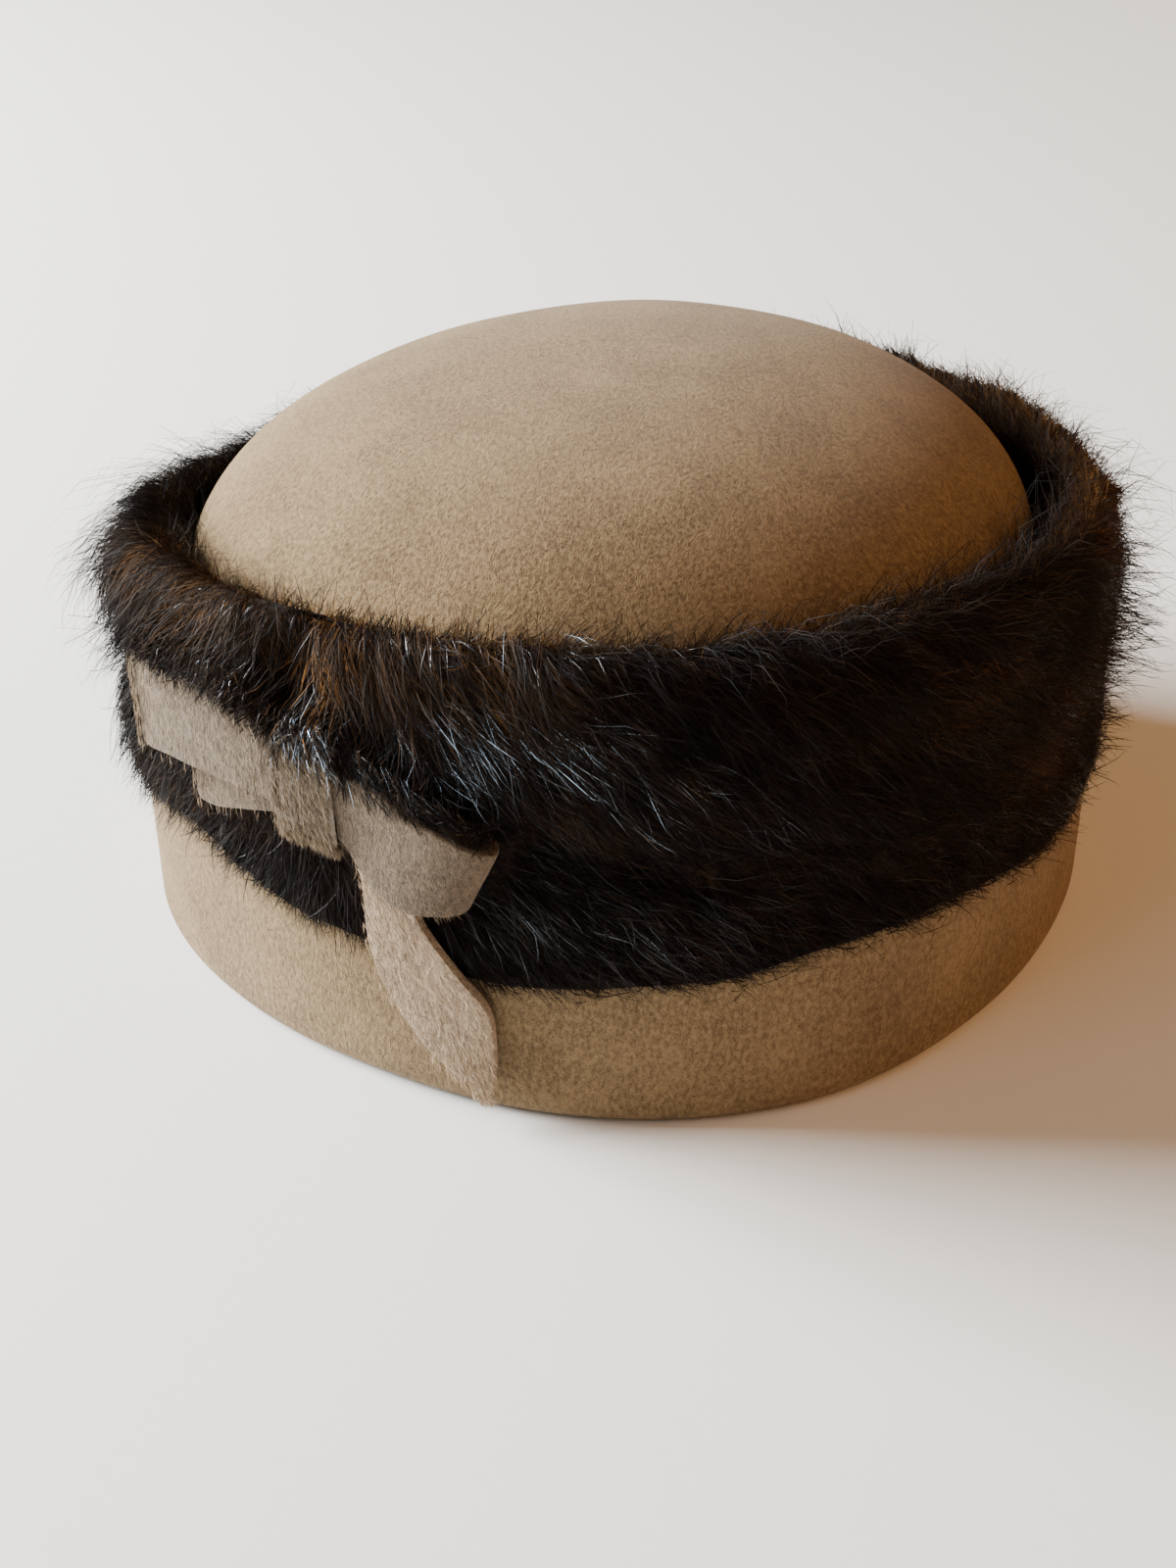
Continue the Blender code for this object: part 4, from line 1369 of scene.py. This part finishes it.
class HAT_OT_bow(bpy.types.Operator):
    """Make the flat felt bow: two loops, two tails and the knot"""

    bl_idname = "hat.bow"
    bl_label = "Bow"

    def execute(self, context):
        light, dark = bow().light, bow().dark
        # Lit and shaded copies of the bow's felt: a darker copy, painted shade, for the loops, the short
        # tail and the wrap, and a far lighter copy, painted light, for the pointed tail
        pressed_felt, lit_tail_felt = (felt_finish(name, scaled(light, part), scaled(dark, part), 0.0011)
                                   for name, part in (("pressed_felt", 0.78), ("pressed_felt_pale", 1.85)))
        for name, cuts, node, surface in (
                ("bow_long_loop", LEFT_LOOP, "bow_left_loop", pressed_felt),
                ("bow_short_tail", LEFT_TAIL, "bow_left_tail", pressed_felt),
                ("bow_drooping_loop", RIGHT_LOOP, "bow_right_loop", pressed_felt),
                ("bow_pointed_tail", RIGHT_TAIL, "bow_right_tail", lit_tail_felt),
                ("bow_wrap", KNOT, "bow_knot", pressed_felt)):
            felt_strip(name, cuts, surface, node)
        rng = np.random.default_rng(23)
        # The nap's colours follow the felt: somewhat darker on the loops, short tail and wrap, painted
        # shade, and twice as light on the pointed tail, painted light
        strip_nap("bow_nap", ((LEFT_LOOP, 2200), (RIGHT_LOOP, 1500), (LEFT_TAIL, 500), (KNOT, 3300)),
                  nap_finish("bow_nap_hair", scaled(light, 0.85), dark), rng)
        strip_nap("tail_nap", ((RIGHT_TAIL, 1800),),
                  nap_finish("tail_nap_hair", scaled(light, 2.0), scaled(dark, 2.0)), rng)
        return {"FINISHED"}


# Stage


Light = namedtuple("Light", "name place size tint")
LIGHTS = (
    Light("key_light", (-0.93, -0.88, 0.60), 0.8, (0.95, 0.98, 1.0)),
    Light("warm_light", (0.9, 1.0, 0.8), 1.6, (1.0, 0.50, 0.20)),
    Light("cool_light", (0.14, -0.99, 0.84), 0.6, (0.78, 0.90, 1.0)),
)
AIM = Vector((0.0, 0.0, 0.06))
FLOOR_RADIUS = 4.0
FLOOR_STEPS = 96
CAMERA_PLACE = (0.3453, -0.2425, 0.2938)
CAMERA_TURN = (56.587, 0.0, 56.5)
FRAME_SIZE = (27.0, 36.0)


def area_light(light, power):
    """A soft square light aimed at the hat."""
    lamp = bpy.data.lights.new(light.name, "AREA")
    lamp.shape = "SQUARE"
    lamp.size = light.size
    lamp.energy = power
    lamp.color = light.tint
    made = bpy.data.objects.new(light.name, lamp)
    made.location = light.place
    made.rotation_euler = (AIM - Vector(light.place)).to_track_quat("-Z", "Y").to_euler()
    bpy.context.scene.collection.objects.link(made)


class HAT_OT_stage(bpy.types.Operator):
    """Make the floor, the soft lights and the camera"""

    bl_idname = "hat.stage"
    bl_label = "Stage"

    def execute(self, context):
        s = stage()
        mesh = bmesh.new()
        bmesh.ops.create_circle(mesh, cap_ends=True, radius=FLOOR_RADIUS, segments=FLOOR_STEPS)
        data = bpy.data.meshes.new("floor")
        mesh.to_mesh(data)
        mesh.free()
        made = Finish("floor_paint", Roughness=0.85, Specular_IOR_Level=0.2)
        grain = made.noise(made.place(), 0.004, 2.0, 0.5)
        data.materials.append(made.finish(Base_Color=made.mix(grain, scaled(s.floor, 0.97), s.floor)))
        floor = bpy.data.objects.new("floor", data)
        context.scene.collection.objects.link(floor)
        for light in LIGHTS:
            area_light(light, getattr(s, light.name))
        world = bpy.data.worlds.new("soft_room")
        world.use_nodes = True
        glow = world.node_tree.nodes["Background"].inputs
        glow["Color"].default_value = (1.0, 0.70, 0.42, 1.0)
        glow["Strength"].default_value = s.ambient
        context.scene.world = world
        lens = bpy.data.cameras.new("camera")
        lens.lens = s.lens
        lens.sensor_fit = "VERTICAL"
        lens.sensor_width, lens.sensor_height = FRAME_SIZE
        view = bpy.data.objects.new("camera", lens)
        view.location = AXIS + Vector(CAMERA_PLACE)
        view.rotation_euler = [math.radians(turn) for turn in CAMERA_TURN]
        context.scene.collection.objects.link(view)
        context.scene.camera = view
        return {"FINISHED"}


class HAT_PT_pieces(bpy.types.Panel):
    """The hat's pieces and their sizes and colours"""

    bl_idname = "HAT_PT_pieces"
    bl_label = "Pillbox Hat"
    bl_space_type = "VIEW_3D"
    bl_region_type = "UI"
    bl_category = "Hat"

    def draw(self, context):
        for made in OPERATORS:
            self.layout.operator(made.bl_idname)
        for group in (felt(), fur(), bow(), stage()):
            box = self.layout.box()
            for name in group.__annotations__:
                box.prop(group, name)


GROUPS = {"hat_felt": HatFelt, "hat_fur": HatFur, "hat_bow": HatBow, "hat_stage": HatStage}
OPERATORS = (HAT_OT_stage, HAT_OT_crown, HAT_OT_cuff, HAT_OT_bow, HAT_OT_fur)


def register():
    """Register the hat's groups, operators and panel."""
    for made in (*GROUPS.values(), *OPERATORS, HAT_PT_pieces):
        bpy.utils.register_class(made)
    for name, group in GROUPS.items():
        setattr(bpy.types.Scene, name, bpy.props.PointerProperty(type=group))


def unregister():
    """Take them away again."""
    for name in GROUPS:
        delattr(bpy.types.Scene, name)
    for made in reversed((*GROUPS.values(), *OPERATORS, HAT_PT_pieces)):
        bpy.utils.unregister_class(made)


def main():
    """Make the hat and its stage."""
    register()
    bpy.ops.hat.stage()
    bpy.ops.hat.crown()
    bpy.ops.hat.cuff()
    bpy.ops.hat.bow()
    bpy.ops.hat.fur()


if __name__ == "__main__":
    main()
